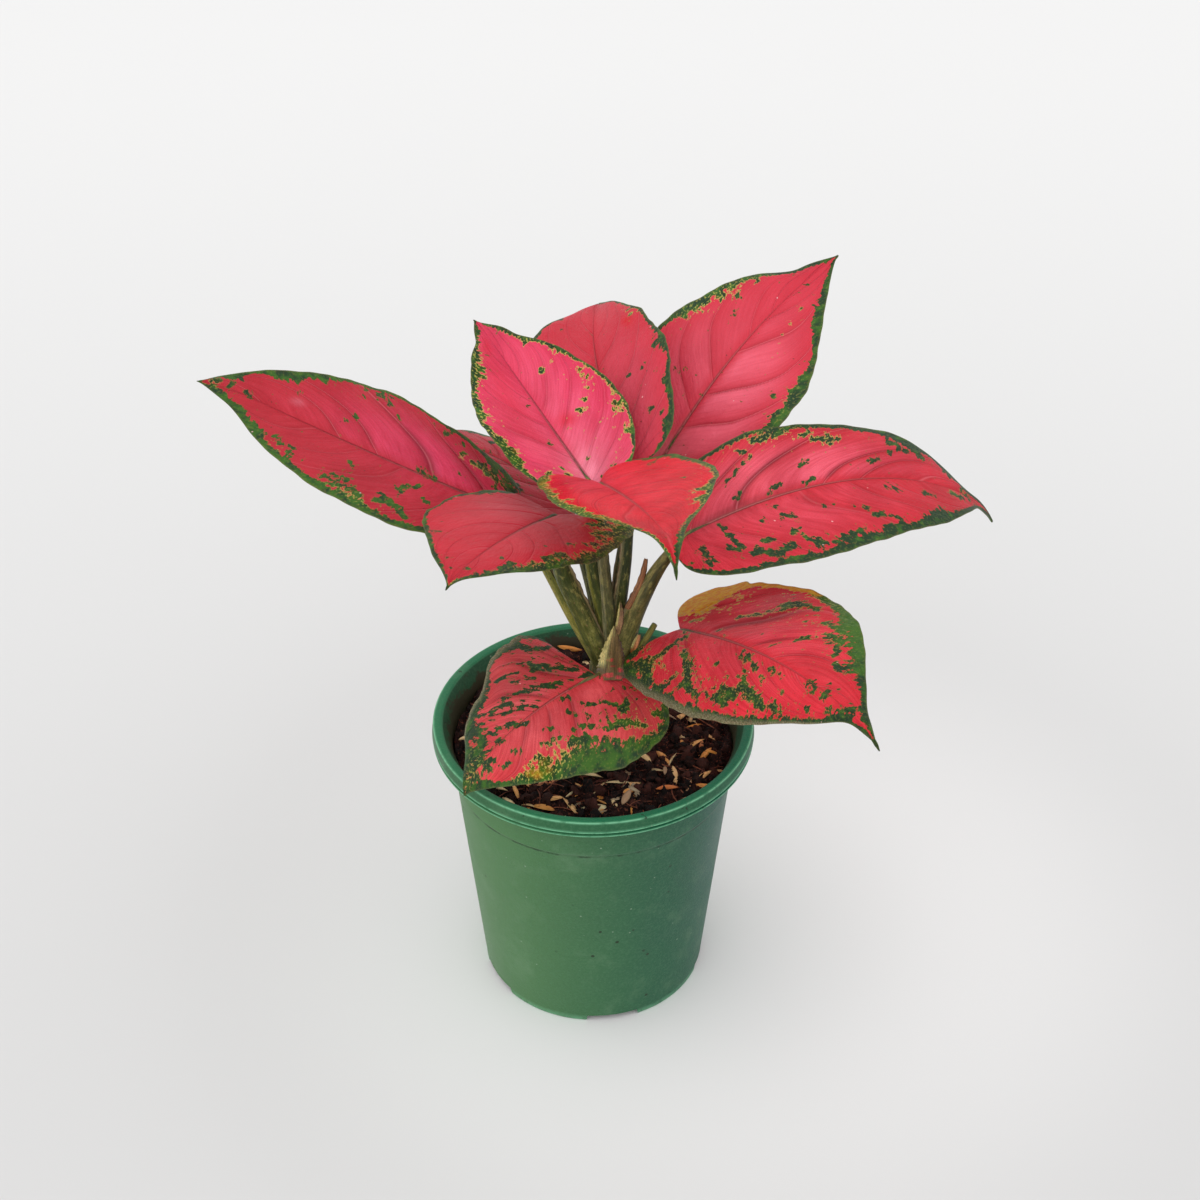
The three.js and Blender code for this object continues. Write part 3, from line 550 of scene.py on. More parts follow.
            (42,46,47,44,1.6), (40,30,44,25,1.2), (48,42,50,40,1), (54,65,56,55,1.6),
            (60,35,62,30,1.8), (68,45,71,42,1.5), (73,18,76,10,1.5), (78,30,80,20,1.6),
            (62,5,64,-5,1.8), (78,-2,80,-10,1.5), (2.8,-4.3,23.8,-13.7,0.72),
            (7.1,-19,15.5,-32.5,1.3), (10.8,-28.2,22,-52.5,1.15), (18.5,-44.5,22.8,-51.2,0.94),
            (16.9,-11.2,26.8,-22,0.86), (22,-8.5,31.8,-28.7,0.72), (26.8,-13.5,38,-33.7,0.79),
            (36.9,-3.3,46.8,-26.3,0.94), (42.8,-13.5,54,-33.7,0.79), (47,5,56,-10,1.3),
            (48.8,-2,60,-22,1.15), (46.5,-33,60.5,-60,1.15), (48.5,-40,62.5,-67,0.94),
            (26.8,-33.5,38,-53.7,0.72), (30,-55,42,-72,1.3), (39.1,-34,47.5,-47.5,0.7),
            (34.7,-44.5,37.5,-51.2,0.79), (5,-70,15,-68,1.8), (15,-68,20,-95,1.8),
            (20,-85,30,-95,1.6), (65,-45,70,-55,2.4), (70,-35,72,-25,1.6), (75,-20,80,-45,2.1),
            (62,-12,65,-30,0.89)],
        spots=[(22,-35,22,35,34), (20,-85,20,15,40), (15,55,16,25,36), (30,50,12,20,20),
            (50,50,10,20,20), (50,-35,15,30,24), (75,0,8,50,44), (3,0,5,90,40)],
        gold=[(62,85,10,25,140), (50,60,15,20,90), (82,-10,10,60,50), (10,70,15,30,60),
            (95,0,8,100,45), (30,-50,30,40,20)],
        shade=[(30,-50,40,50,30), (35,85,35,30,-12)],
        streaky=[(30,-50,35,50,180), (20,30,15,30,60)],
        tones=[((50,10,20,40,40), (226,98,102)), ((25,-60,30,50,50), (160,62,58)),
            ((12,70,12,30,40), (176,66,58))],
    ),
]

THICK = 0.5        # blade thickness at the middle
KEEL = 1.3         # midrib below the blade
VEINS = 6          # side veins on each half
BLADE_ROWS = 190   # rows of points from base to tip
BLADE_HALF = 38    # faces in a row on each half


def by_side(t, pair):
    """The left value of a pair where t is 0 or more, else the right one."""
    return np.where(t >= 0, pair[0], pair[1])


def resample(want, at, rows):
    return np.stack([np.interp(want, at, rows[:, k]) for k in range(3)], -1)


def midrib(leaf, s):
    """Points of the midrib and the directions along, across (left) and out of the blade."""
    steps = 400
    fine = np.linspace(0, 1, steps + 1)

    def angles(t):
        bend = np.clip((t - 0.8) / 0.2, 0, 1)
        pitch = leaf["rise"] - leaf["droop"] * t**1.2 - leaf["hook"] * bend**2
        return np.radians(pitch), np.radians(leaf["heading"] + leaf["turn"] * t)

    def along(t):
        p, h = angles(t)
        return np.stack([cos(p) * cos(h), cos(p) * sin(h), sin(p)], -1)

    run = np.cumsum(along((fine[1:] + fine[:-1]) / 2) * leaf["length"] / steps, 0)
    point = resample(s, fine, np.vstack([[0, 0, 0], run]) + leaf["base"])
    p, h = angles(s)
    level = np.stack([-sin(h), cos(h), 0 * h], -1)
    up = np.stack([-sin(p) * cos(h), -sin(p) * sin(h), cos(p)], -1)
    r = np.radians(leaf["roll"] + leaf["twist"] * s)[:, None]
    return point, along(s), level * cos(r) + up * sin(r), up * cos(r) - level * sin(r)


def half_width(leaf, s, side):
    """Width of the left half (side 1) or the right half (side -1)."""
    widest, shoulder = leaf["widest"], leaf["shoulder"]
    u = np.clip((widest - s) / widest, 0, 1)
    v = np.clip((s - widest) / (1 - widest), 0, 1)
    near, far = shoulder + (1 - shoulder) * sqrt(1 - u * u), (1 - v**1.9) ** leaf["taper"]
    width = leaf["width"] / 2 * (1 + side * leaf["skew"]) * np.where(s < widest, near, far)
    for hand, place, reach, amount in leaf["shape"]:
        if hand == side:
            width *= 1 + amount / 100 * bell(100 * s, place, reach)
    return np.maximum(0.2 + 0.5 * np.clip((1 - s) / 0.02, 0, 1), width)


def vein_phase(leaf, s, t):
    """Counts the side veins: whole numbers lie on one; it leaves the midrib and bends forward."""
    a = np.abs(t)
    start = by_side(t, leaf["slope"]) * a * (0.6 + 0.9 * s) + 0.08 * a * a + 1e-6
    phase = np.where(s > start, VEINS * (s - start), -2.2 * (1 - s / start))
    shift = leaf["length"] * 0.37
    uneven = 0.16 * sin(5.1 * phase / 2 + shift) + 0.1 * sin(2.1 * phase + shift * 1.7)
    return phase + uneven + 0.05 * sin(9 * a + shift) + by_side(t, (0.0, 0.42))


def hills(places, g):
    """Sum of smooth patches (along, across, reach along, reach across, amount), in percent."""
    out = np.zeros_like(g.s)
    for s0, t0, rs, rt, amount in places:
        out += amount / 100 * bell(100 * g.s, s0, rs) * bell(100 * g.t, t0, rt)
    return out


def strokes(places, leaf, g):
    """Dots and short lines, 1 in their middle and less around it."""

    def on_blade(s, t):
        s, t = s / 100, t / 100
        lobe, side = (leaf["lobes"][0], 1) if t >= 0 else (leaf["lobes"][1], -1)
        back = lobe * sin(pi / 2 * abs(t)) * (1 - s) ** 3
        return s * leaf["length"] - back, t * half_width(leaf, np.array([s]), side)[0]

    out = np.zeros_like(g.s)
    for *ends, size in places:
        (x0, y0), (x1, y1) = on_blade(*ends[:2]), on_blade(*ends[-2:])
        x1, y1 = x1 - x0, y1 - y0
        x, y = g.s * leaf["length"] + g.back - x0, g.side * g.across - y0
        u = np.clip((x * x1 + y * y1) / (x1**2 + y1**2 + 1e-9), 0, 1)
        out = np.maximum(out, bell(np.hypot(x - u * x1, y - u * y1), 0, size))
    return out


def blade_grid(leaf):
    """Rows of points from base to tip: s along 0 to 1, t across -1 to 1, and what follows."""
    even = np.linspace(0, 1, BLADE_ROWS)
    rows = 0.55 * even + 0.45 * (1 - cos(pi * even)) / 2
    half = np.linspace(0, 1, BLADE_HALF + 1) ** 1.1
    s, t = np.meshgrid(rows, np.concatenate([-half[:0:-1], half]), indexing="ij")
    g = SimpleNamespace(rows=rows, s=s, t=t, a=np.abs(t), side=by_side(t, (1.0, -1.0)))
    g.width = by_side(t, [half_width(leaf, rows, side)[:, None] for side in (1, -1)])
    g.across = g.width * g.a
    g.back = -by_side(t, leaf["lobes"]) * sin(pi / 2 * g.a) * (1 - s) ** 3
    g.phase = vein_phase(leaf, s, t)
    part = g.phase % 1
    g.near_vein = np.abs(part - 0.5) * 2
    g.dome = 1 - g.near_vein**1.6
    g.saw = part**1.4 * smooth(1.0, 0.93, part)
    g.quilt = by_side(t, leaf["quilt"])
    g.reach = smooth(0, 0.15, g.a) * (1 - smooth(0.4, 0.95, g.a))
    g.reach *= bell(s, 0.3, 0.3) * smooth(0, 0.05, s)
    return g


def blade_surfaces(leaf, g):
    """Grids of points of the upper and the lower surface."""
    s, t, a, side = g.s, g.t, g.a, g.side
    start = rng.uniform(0, TURN, 8)
    fold, curl = math.radians(leaf["fold"]), math.radians(leaf["curl"])
    flat = (sin(fold + curl * a) - sin(fold)) / curl
    lift = (cos(fold) - cos(fold + curl * a)) / curl

    def waves(*rows):
        return sum(size * sin(TURN * count * s + at) for size, count, at in rows)

    wavy = waves((1, 3.1, start[0] + side), (0.6, 8.3, start[1] - side), (0.4, 17, start[5] + side))
    rim = 0.55 * a**3 * smooth(0, 0.15, s) * (1 - smooth(0.85, 1, s))
    rim *= waves((1, 2.3, start[2] + side), (0.6, 4.7, start[3] + 2 * side))
    bulge = g.quilt * (0.8 * g.dome + 0.45 * g.saw - 0.4) * g.reach
    sway = 0.4 * sin(TURN * (1.7 * s + 0.8 * t) + start[4]) * a
    crease = 1.2 * np.clip(g.near_vein - 0.9, 0, 1) * smooth(0, 0.1, a) * (1 - a)
    crease *= smooth(0.02, 0.1, s)
    groove = 0.4 * bell(g.across, 0, 0.9) * (1 - s) ** 0.5
    height = g.width * lift + bulge + rim + sway - crease - groove

    point, along, across, out = [v[:, None, :] for v in midrib(leaf, g.rows)]
    sideways = side * g.width * (1 + 0.010 * a**2 * wavy) * flat
    moved = g.back[..., None] * along + sideways[..., None] * across + height[..., None] * out
    body = THICK / 2 * (1 - a**8) * smooth(0, 0.004, s) * (1 - smooth(0.99, 1, s))
    keel = KEEL * bell(g.across, 0, 1.2) * (1 - s) ** 0.8 * smooth(0, 0.02, s)
    middle = point + moved
    return middle + body[..., None] * out, middle - (body + keel)[..., None] * out


def blade_marks(leaf, g):
    """How far each point is from the edge, and how green, golden and pale it is."""
    edge = np.minimum(g.width * (1 - g.a), leaf["length"] * (1 - g.s) * 0.45 + 0.02)
    starts = [np.interp(100 * g.s, *np.array(leaf[k], float).T) / 100 for k in ("left", "right")]
    green_width = np.maximum(1.0, g.width * (1 - by_side(g.t, starts)))
    band = 0.5 + leaf["firm"] * (1 - edge / (0.8 * green_width))
    scatter = leaf["near"] * 1.6 * exp(-edge / 4) + hills(leaf["spots"], g) - 0.3
    gold = hills(leaf["gold"], g)
    green = np.maximum(band, scatter) + 0.5 * np.clip(gold - 1.3, 0, 2)
    green += strokes(leaf["flecks"], leaf, g) - 1.1 * strokes(leaf["islands"], leaf, g)
    pale = 0
    if leaf["pale"]:
        hand, start = leaf["pale"]
        pale = (g.side == hand) * smooth(start - 0.07, start + 0.02, g.a)
        pale = pale * smooth(0.05, 0.15, g.s) * (1 - smooth(0.75, 0.9, g.s))
    return edge, green, gold, pale


def blade_colour(leaf, g):
    """The red ground: lighter on the bulges, partly pigment and partly painted highlight, with
    painted shade along the veins, and patches of other tones.
    """
    strength = g.reach * np.minimum(1, g.quilt)
    # partly pigment and partly painted highlight on the bulges
    bulge_pink_and_light = np.clip((0.45 * g.dome + 0.85 * g.saw) * strength + 0.12 * (1 - g.s), 0, 1)
    colour = blend(rgb(*leaf["pink"]), rgb(*leaf["light"]), bulge_pink_and_light)
    for place, tone in leaf["tones"]:
        colour = blend(colour, rgb(*tone), np.clip(hills([place], g), 0, 1))
    # painted shade in the creases along the side veins
    crease_shade = bell(g.near_vein, 1, 0.16) * strength * min(0.6, 0.26 * leaf["crisp"])
    return colour * (1 - crease_shade)[..., None]


def make_leaf(number, leaf, materials):
    g = blade_grid(leaf)
    upper, lower = blade_surfaces(leaf, g)
    edge, green, gold, pale = blade_marks(leaf, g)
    rows, cols = shape = g.s.shape

    def both(values):
        """Values of all points above, and again of those below, which share the border."""
        values = values.reshape(rows, cols, -1)
        return np.vstack([v.reshape(-1, v.shape[-1]) for v in (values, values[1:-1, 1:-1])])

    across = g.side * g.across
    slant = g.s * leaf["length"] + g.back - 0.45 * g.across
    dark = leaf["dark"] + hills(leaf["shade"], g)
    veined = np.minimum(1, 0.3 + g.quilt * 0.5)
    attrs = {
        "col_pink": blade_colour(leaf, g),
        "pattern": stacked(shape, slant, across, number * 37.0 + g.side * 9),
        "place": stacked(shape, edge, across, g.s),
        "marks": stacked(shape, green, gold, g.phase),
        "extra": stacked(shape, dark, veined, pale),
        "more": stacked(shape, hills(leaf["streaky"], g), leaf["rib"], leaf["crisp"]),
    }

    def quads(i):
        return np.stack([i[:-1, :-1], i[1:, :-1], i[1:, 1:], i[:-1, 1:]], -1).reshape(-1, 4)

    top = np.arange(rows * cols).reshape(shape)
    low = top.copy()
    low[1:-1, 1:-1] = rows * cols + np.arange((rows - 2) * (cols - 2)).reshape(rows - 2, -1)
    faces = np.vstack([quads(top), quads(low)[:, [0, 3, 2, 1]]])
    verts = np.vstack([upper.reshape(-1, 3), lower[1:-1, 1:-1].reshape(-1, 3)])
    border = np.zeros(len(verts), bool)
    border[np.concatenate([top[0], top[-1], top[:, 0], top[:, -1]])] = True
    index = np.repeat([0, 1], len(faces) // 2)
    attrs = {k: both(v) for k, v in attrs.items()}
    ob = build(leaf["name"] + "_blade", verts, faces, materials, attrs, index, border)
    return piece(ob, "blade", leaf["name"])


def leaf_material(under=False):
    m = Shader("blade_under" if under else "blade_top")
    pattern, _, _, seed = m.attr("pattern")
    _, edge, across, s = m.attr("place")
    _, green, gold, phase = m.attr("marks")
    _, dark, veined, pale = m.attr("extra")
    _, streaky, rib_share, crisp = m.attr("more")

    def streaks(lanes, along, detail, rough):
        """Noise drawn out along the side veins."""
        return m.noise(m.joined(phase * lanes, across * along, seed), 1.0, detail, rough)

    crumb = m.mottle(pattern, 0.62, 0.5, 2.0, 0.55)
    grain = m.mottle(pattern, 1.7, 1.4, 2.0, 0.6)
    pores = m.mottle(pattern, 3.0, 3.0, 2.0, 0.7)
    streak = streaks(17.0, 0.1, 3.0, 0.6)
    drift = m.mottle(pattern, 0.06, 0.05)
    tone = m.mottle(pattern, 0.2, 0.26)
    saw = abs(m.math("FRACT", phase) - 0.5)

    # green is where this field is over 0.5
    blocks = {"Vector": m.scale(pattern, (0.5, 0.4, 1)), "Scale": 1.0}
    cell = m.split(m.get(m.node("TexVoronoi", blocks, distance="CHEBYCHEV"), "Color"))[0]
    field = m.mottle(pattern, 0.34, 0.24, 3.0, 0.6, 0.2) * 1.8 + crumb * 2.0
    field = field + grain * 0.5 + cell * 0.5 - 2.4 + green
    field = field + (streaks(7.5, 0.11, 2.0, 0.55) - 0.5) * 1.8 * streaky
    mask = m.step(field, 0.475, 0.525)
    low = m.step(gold, 0.1, 1.0, 0.36, 0.26)
    fringe = m.math("SUBTRACT", m.step(field, low, low + 0.05), mask, clamp=True)

    # the red ground: slow drift, streaks along the veins, fine pores, side veins with painted
    # shade along them
    red = m.colour("col_pink")
    for share, by in (
        (m.step(drift, 0.38, 0.62, 0.0, 0.35), (0.8, 0.62, 0.66)),
        (m.step(streak, 0.46, 0.66, 0.0, 0.2), (1.12, 1.5, 1.5)),
        (m.step(streak, 0.54, 0.34, 0.0, 0.25), (0.8, 0.6, 0.66)),
        (m.step(pores, 0.5, 0.68, 0.0, 0.3), (0.72, 0.5, 0.55)),
    ):
        red = m.tint(share * crisp, red, by)
    line = m.step(saw, 0.478, 0.496)
    vein_side_shade = m.step(saw, 0.44, 0.475) * (1.0 - line)
    off = abs(across) / m.math("MAXIMUM", 1.15 - s * 1.1, 0.3)
    rib = m.step(off, 1.0, 0.6) * m.step(s, 0.8, 0.1, 0.06, 0.62) * rib_share
    red = m.coats(
        red,
        (line * veined * 0.3, rgb(224, 128, 136)),
        # painted shade on both sides of each side vein
        (vein_side_shade * veined * 0.12, rgb(130, 24, 40)),
        (rib, rgb(126, 58, 58)),
        (m.step(off, 0.35, 0.05) * m.step(s, 0.9, 0.1, 0.0, 0.55), rgb(190, 122, 116)),
    )

    # the green: darker parts, a dark border, light freckles, and gold
    shady = m.math("ADD", tone * 1.6, dark - 0.8, clamp=True)
    freckles = m.step(m.mottle(pattern, 0.9, 0.9), 0.55, 0.62) * m.step(gold, 0.1, 0.9, 0.1, 0.85)
    golden = m.mix(m.step(crumb, 0.42, 0.6), rgb(206, 132, 38), rgb(210, 168, 48))
    leaf_green = m.coats(
        m.mix(shady, rgb(66, 108, 32), rgb(40, 80, 30)),
        (m.step(shady, 0.4, 0.8), rgb(32, 58, 32)),
        (m.step(field, 1.0, 0.5, 0.0, 0.35), rgb(44, 46, 16)),
        (freckles, rgb(178, 174, 84)),
        (m.step(tone * 1.2 + gold, 1.7, 2.6), golden),
    )
    rim = m.mix(m.step(gold, 0.1, 0.7), rgb(140, 96, 52), rgb(190, 168, 92))
    bleached = m.mix(m.step(grain, 0.4, 0.65), rgb(96, 92, 64), rgb(150, 142, 112))
    light_dots = m.dots(m.scale(pattern, (0.1, 0.1, 1)))
    dark_dots = m.dots(m.scale(pattern, (0.17, 0.13, 1)))
    colour = m.coats(
        red,
        (fringe * m.step(gold, 0.0, 0.8, 0.6, 0.85), rim),
        (mask, leaf_green),
        (m.step(edge, 0.9, 0.1) * 0.45, rgb(96, 104, 62)),
        (pale * 0.8, bleached),
        (m.step(light_dots, 0.04, 0.025, 0.0, 0.7), rgb(236, 190, 190)),
        (m.step(dark_dots, 0.05, 0.03, 0.0, 0.75), rgb(52, 44, 28)),
    )
    rough = m.step(pores, 0.3, 0.8, 0.4, 0.54)
    if under:
        colour = m.mix(0.45, colour, m.mix(mask, rgb(190, 108, 108), rgb(112, 136, 88)))
        rough = 0.62
    relief = streak * 0.6 + pores * 0.3 + m.mottle(pattern, 0.24, 0.4, 3.0, 0.55) * 1.5
    relief = relief + m.step(saw, 0.44, 0.5, 0.0, -0.5)
    return m.surface(
        Base_Color=colour, Roughness=rough, Normal=m.bump(relief, 0.00045, 0.85),
        Subsurface_Weight=0.06, Subsurface_Radius=(0.003, 0.001, 0.0007), Subsurface_Scale=0.3,
        Specular_IOR_Level=m.step(gold, 0.5, 1.3, 0.2, 0.03),
    )


# ---- stalks -------------------------------------------------------------------------------

STEM = np.array([5.0, 3.0, 0.0])       # where the stem stands in the pot
STUB = dict(
    points=[(9, 1, 148), (15.8, -3, 160), (19.5, -3.4, 166), (24.2, -2, 174.5)], radii=(2.0, 1.15),
    number=30, skin=((146, 144, 62), (128, 118, 52), (110, 120, 46), (70, 66, 32)),
)
SCRAPS = [
    dict(
        outline=[(164.3, 0.5, 14, -22), (167, 1.6, 12.9, -17.5), (168.6, 2.8, 12.2, -13),
                 (170.6, 4.4, 11.2, -9.5), (173.4, 6.4, 9.8, -7), (176, 8, 8.6, -5.6)],
        bulge=2.6, foot=(106, 80, 48), tip=(118, 100, 58), number=41, wrap=4.5,
        spots=[(0.42, -0.1, 0.045, 0.3, (186, 60, 58)), (0.2, 0.55, 0.05, 0.22, (190, 56, 60)),
               (0.1, -0.2, 0.06, 0.4, (192, 60, 62)), (0.28, 0.1, 0.03, 0.16, (176, 62, 56)),
               (0.06, 0.4, 0.05, 0.25, (196, 60, 66))],
    ),
    dict(
        outline=[(171, 8.2, 10.4, -4.6), (176, 8.8, 11.8, -4.4), (181, 9.6, 12.0, -3.8),
                 (185.5, 10.2, 11.0, -3.4)],
        bulge=0.9, foot=(196, 152, 112), tip=(92, 70, 52), number=42,
    ),
    dict(
        outline=[(164, 14.6, 16.2, -6.6), (167, 14.9, 17.6, -6.8), (170, 16.0, 18.4, -6.4),
                 (172, 17.2, 18.6, -6)],
        bulge=1.0, foot=(204, 112, 58), tip=(214, 150, 104), number=43,
    ),
]


def run_of(points, power=1.0):
    """Distance from the first point to each point, by way of the others."""
    steps = np.linalg.norm(np.diff(points, axis=0), axis=1) ** power
    return np.concatenate([[0], np.cumsum(steps)])


def spline(points, count):
    """Evenly spaced points and directions of a centripetal Catmull-Rom curve, and its length."""
    pts = np.array(points, float)
    pts = np.vstack([2 * pts[0] - pts[1], pts, 2 * pts[-1] - pts[-2]])
    fine = []
    for i in range(1, len(pts) - 2):
        p = pts[i - 1 : i + 3]
        t = run_of(p, 0.5)
        u = np.linspace(t[1], t[2], 40, endpoint=i == len(pts) - 3)[:, None]

        def between(values, pairs):
            return [(t[hi] - u) / (t[hi] - t[lo]) * a + (u - t[lo]) / (t[hi] - t[lo]) * b
                    for a, b, (lo, hi) in zip(values, values[1:], pairs)]

        a = between(p, ((0, 1), (1, 2), (2, 3)))
        fine += between(between(a, ((0, 2), (1, 3))), ((1, 2),))
    fine = np.vstack(fine)
    run = run_of(fine)
    out = resample(np.linspace(0, run[-1], count), run, fine)
    d = np.gradient(out, axis=0)
    return out, d / np.linalg.norm(d, axis=1)[:, None], run[-1]


def wrapped(front, back):
    """Rings of points that run over the front of a sheet and back behind it."""
    return np.concatenate([front, back[:, ::-1]], 1)


def there_and_back(v):
    return np.r_[v, v[::-1]]


def paint(skin, t, x):
    """Colour of a stalk at t of its length, on the side that faces right by x; its lighter left
    and darker right colours are partly painted light and shade.
    """
    low, high, left, right = [rgb(*c) for c in skin]
    c = blend(low, high, smooth(0.1, 0.55, t))
    c = blend(c, left, 0.85 * smooth(0.3, 0.55, -x))
    return blend(c, right, 0.85 * smooth(0.45, 0.8, x)).reshape(-1, 3)


def petiole(leaf, number):
    """A stalk that bends into its blade and runs out below the midrib."""
    top, tail = leaf["stalk"][1], 13.0
    point, along, _, out = midrib(leaf, np.array([0.0, 5.0, tail]) / leaf["length"])
    end = point - out * np.array([[top + 0.35], [0.62 * top + 0.1], [0.6]])
    end[0] -= along[0] * 0.8
    points = [*leaf["petiole"], *end]
    return stalk(points, leaf["stalk"], number, leaf["skin"], leaf["wing"], tail)


def stalk(points, radii, number, skin, wing=(0, 0), tail=0.0):
    """A stalk with a sheath edge on each side; its last part, tail long, gets thin."""
    rings, sides = shape = 120, 44
    centre, tangent, length = spline(points, rings)
    t = np.linspace(0, 1, rings)
    bend = 1 - tail / length
    radius = radii[0] + (radii[1] - radii[0]) * np.minimum(1, t / bend)
    radius *= 1 - 0.7 * smooth(bend - 0.01, 1, t)
    outward = (centre.mean(0) - STEM) * (1, 1, 0)
    outward = 0.7 * outward / (np.linalg.norm(outward) + 1e-6) + (0, -0.8, 0)
    face = outward - tangent * (tangent @ outward)[:, None]
    face /= np.linalg.norm(face, axis=1)[:, None]
    other = np.cross(tangent, face)
    angle, up = around(sides), t[:, None]
    inner = smooth(0.35, 0.9, -cos(angle)) * 0.35 * (1 - smooth(0.5, 0.95, up))
    ribs = 0.016 * sin(9 * angle + number) + 0.012 * sin(15 * angle + 2 * number)
    uneven = 1 - inner + 0.03 * sin(3 * angle + number) + ribs * (1 - 0.7 * up)
    uneven += 0.02 * sin(17 * up + number)
    radial = cos(angle)[:, None] * face[:, None, :] + sin(angle)[:, None] * other[:, None, :]
    verts = centre[:, None, :] + (radius[:, None] * uneven)[..., None] * radial
    attrs = {
        "place": stacked(shape, up * length, angle * 3, number),
        "tone": stacked(shape, up, 0, 0),
        "col_skin": paint(skin, np.broadcast_to(up, shape), radial[..., 0]),
    }
    parts = [(verts.reshape(-1, 3), tube(rings, sides, flip=True), attrs)]

    n, m = shape = 90, 6 * 2
    for hand, size in zip((-1, 1), wing):
        if size <= 0:
            continue
        end = wing[2] if len(wing) > 2 else 0.6 + 0.06 * hand
        w, v = np.linspace(0.02, end, n)[:, None], np.linspace(0, 1, m // 2)
        c, f, o = [resample(w[:, 0], t, rows)[:, None, :] for rows in (centre, face, other)]
        grow = (1 - smooth(0.75, 1, w / end)) * (0.75 + 0.25 * sin(9 * w + number * 1.7 + hand))
        torn = 0.12 * sin(83 * w + number) + 0.1 * sin(141 * w + 2 * number)
        torn += 0.25 * bell(w, 0.42, 0.03)
        turn = math.radians(76) + v * 0.8 * grow
        reach = np.interp(w, t, radius) * (0.97 + 0.3 * size * v**1.2 * grow)
        reach += 1.3 * size * v**3 * torn * grow
        film = cos(turn)[..., None] * f + (hand * sin(turn))[..., None] * o
        sheet, thick = c + reach[..., None] * film, film * (0.28 * (1 - 0.7 * v))[:, None]
        verts = wrapped(sheet + thick / 2, sheet - thick / 2)
        vv = there_and_back(v)
        attrs = {
            "place": stacked(shape, w * length, vv * 3, number + 0.5),
            "tone": stacked(shape, w, vv, 0),
            "col_skin": paint(skin, np.broadcast_to(w, shape), hand),
        }
        parts.append((verts.reshape(-1, 3), tube(n, m, flip=hand > 0), attrs))
    return join(parts)


def scrap(outline, bulge, foot, tip, number, wrap=0.0, spots=()):
    """A thin torn sheet.

    outline lists (z, left x, right x, y), bulge is how far the middle stands out, wrap how far the
    sides go back and down, and spots are (along, across, reach along, reach across, colour).
    """
    n, m = 60, 13
    rows, t, u = np.array(outline, float), np.linspace(0, 1, n)[:, None], np.linspace(-1, 1, m)
    run = run_of(rows[:, [0, 3]])
    z, left, right, y = [np.interp(t * run[-1], run, rows[:, k]) for k in range(4)]
    half = (right - left) / 2
    ragged = 1 + 0.05 * (sin(60 * t + number) + sin(97 * t + 2 * number)) * np.abs(u) ** 3
    x = (left + right) / 2 + half * u * ragged
    curled = wrap * u**2 * (1 - t)
    y = y - bulge * np.minimum(half, 5) / 5 * (1 - u**2) + 0.12 * sin(22 * u + 8 * t) + curled / 2
    sheet = np.stack([x, y, z - curled], -1)
    shape, u = (n, 2 * m), there_and_back(u)
    colour = blend(rgb(*foot), rgb(*tip), np.broadcast_to(t, shape))
    colour = blend(colour, rgb(84, 46, 36), smooth(0.72, 0.95, u))
    colour = blend(colour, rgb(206, 192, 122), smooth(-0.3, -0.6, u) * smooth(0.2, 0.35, t))
    for t0, u0, rt, ru, tone in spots:
        colour = blend(colour, rgb(*tone), bell(t, t0, rt) * bell(u, u0, ru) > 0.5)
    return wrapped(sheet, sheet + (0, 0.3, 0)).reshape(-1, 3), tube(n, 2 * m), {
        "place": stacked(shape, t * (z[-1] - z[0]), u * half, number),
        "tone": stacked(shape, 0.4 * t, 0, 0),
        "col_skin": colour.reshape(-1, 3),
    }


def trunk():
    """The short stem below the stalks, ringed by the scars of old leaves."""
    rings, sides = shape = 90, 40
    z, angle = np.linspace(100, 158, rings)[:, None], around(sides)
    r = 6.5 - 1.6 * smooth(148, 158, z) + 0.5 * smooth(116, 108, z)
    for scar in (118.5, 123, 128.5, 134, 140.5):
        r = r + 0.6 * bell(z, scar, 0.5) - 0.25 * bell(z, scar + 1.2, 0.6)
    r = r * (1 + 0.03 * sin(2 * angle + 1) + 0.02 * sin(5 * angle + 0.4 * z))
    tilted = z + 0.9 * sin(angle) * smooth(100, 112, z)
    verts = stacked(shape, r * cos(angle), r * sin(angle), tilted) + STEM
    return verts, tube(rings, sides, flip=True), {
        "place": stacked(shape, z, angle * 6, 50),
        "tone": stacked(shape, 0.1, 0, np.clip(1.15 - (z - 112) / 36, 0, 1)),
        "col_skin": stacked(shape, *rgb(96, 96, 50)),
    }


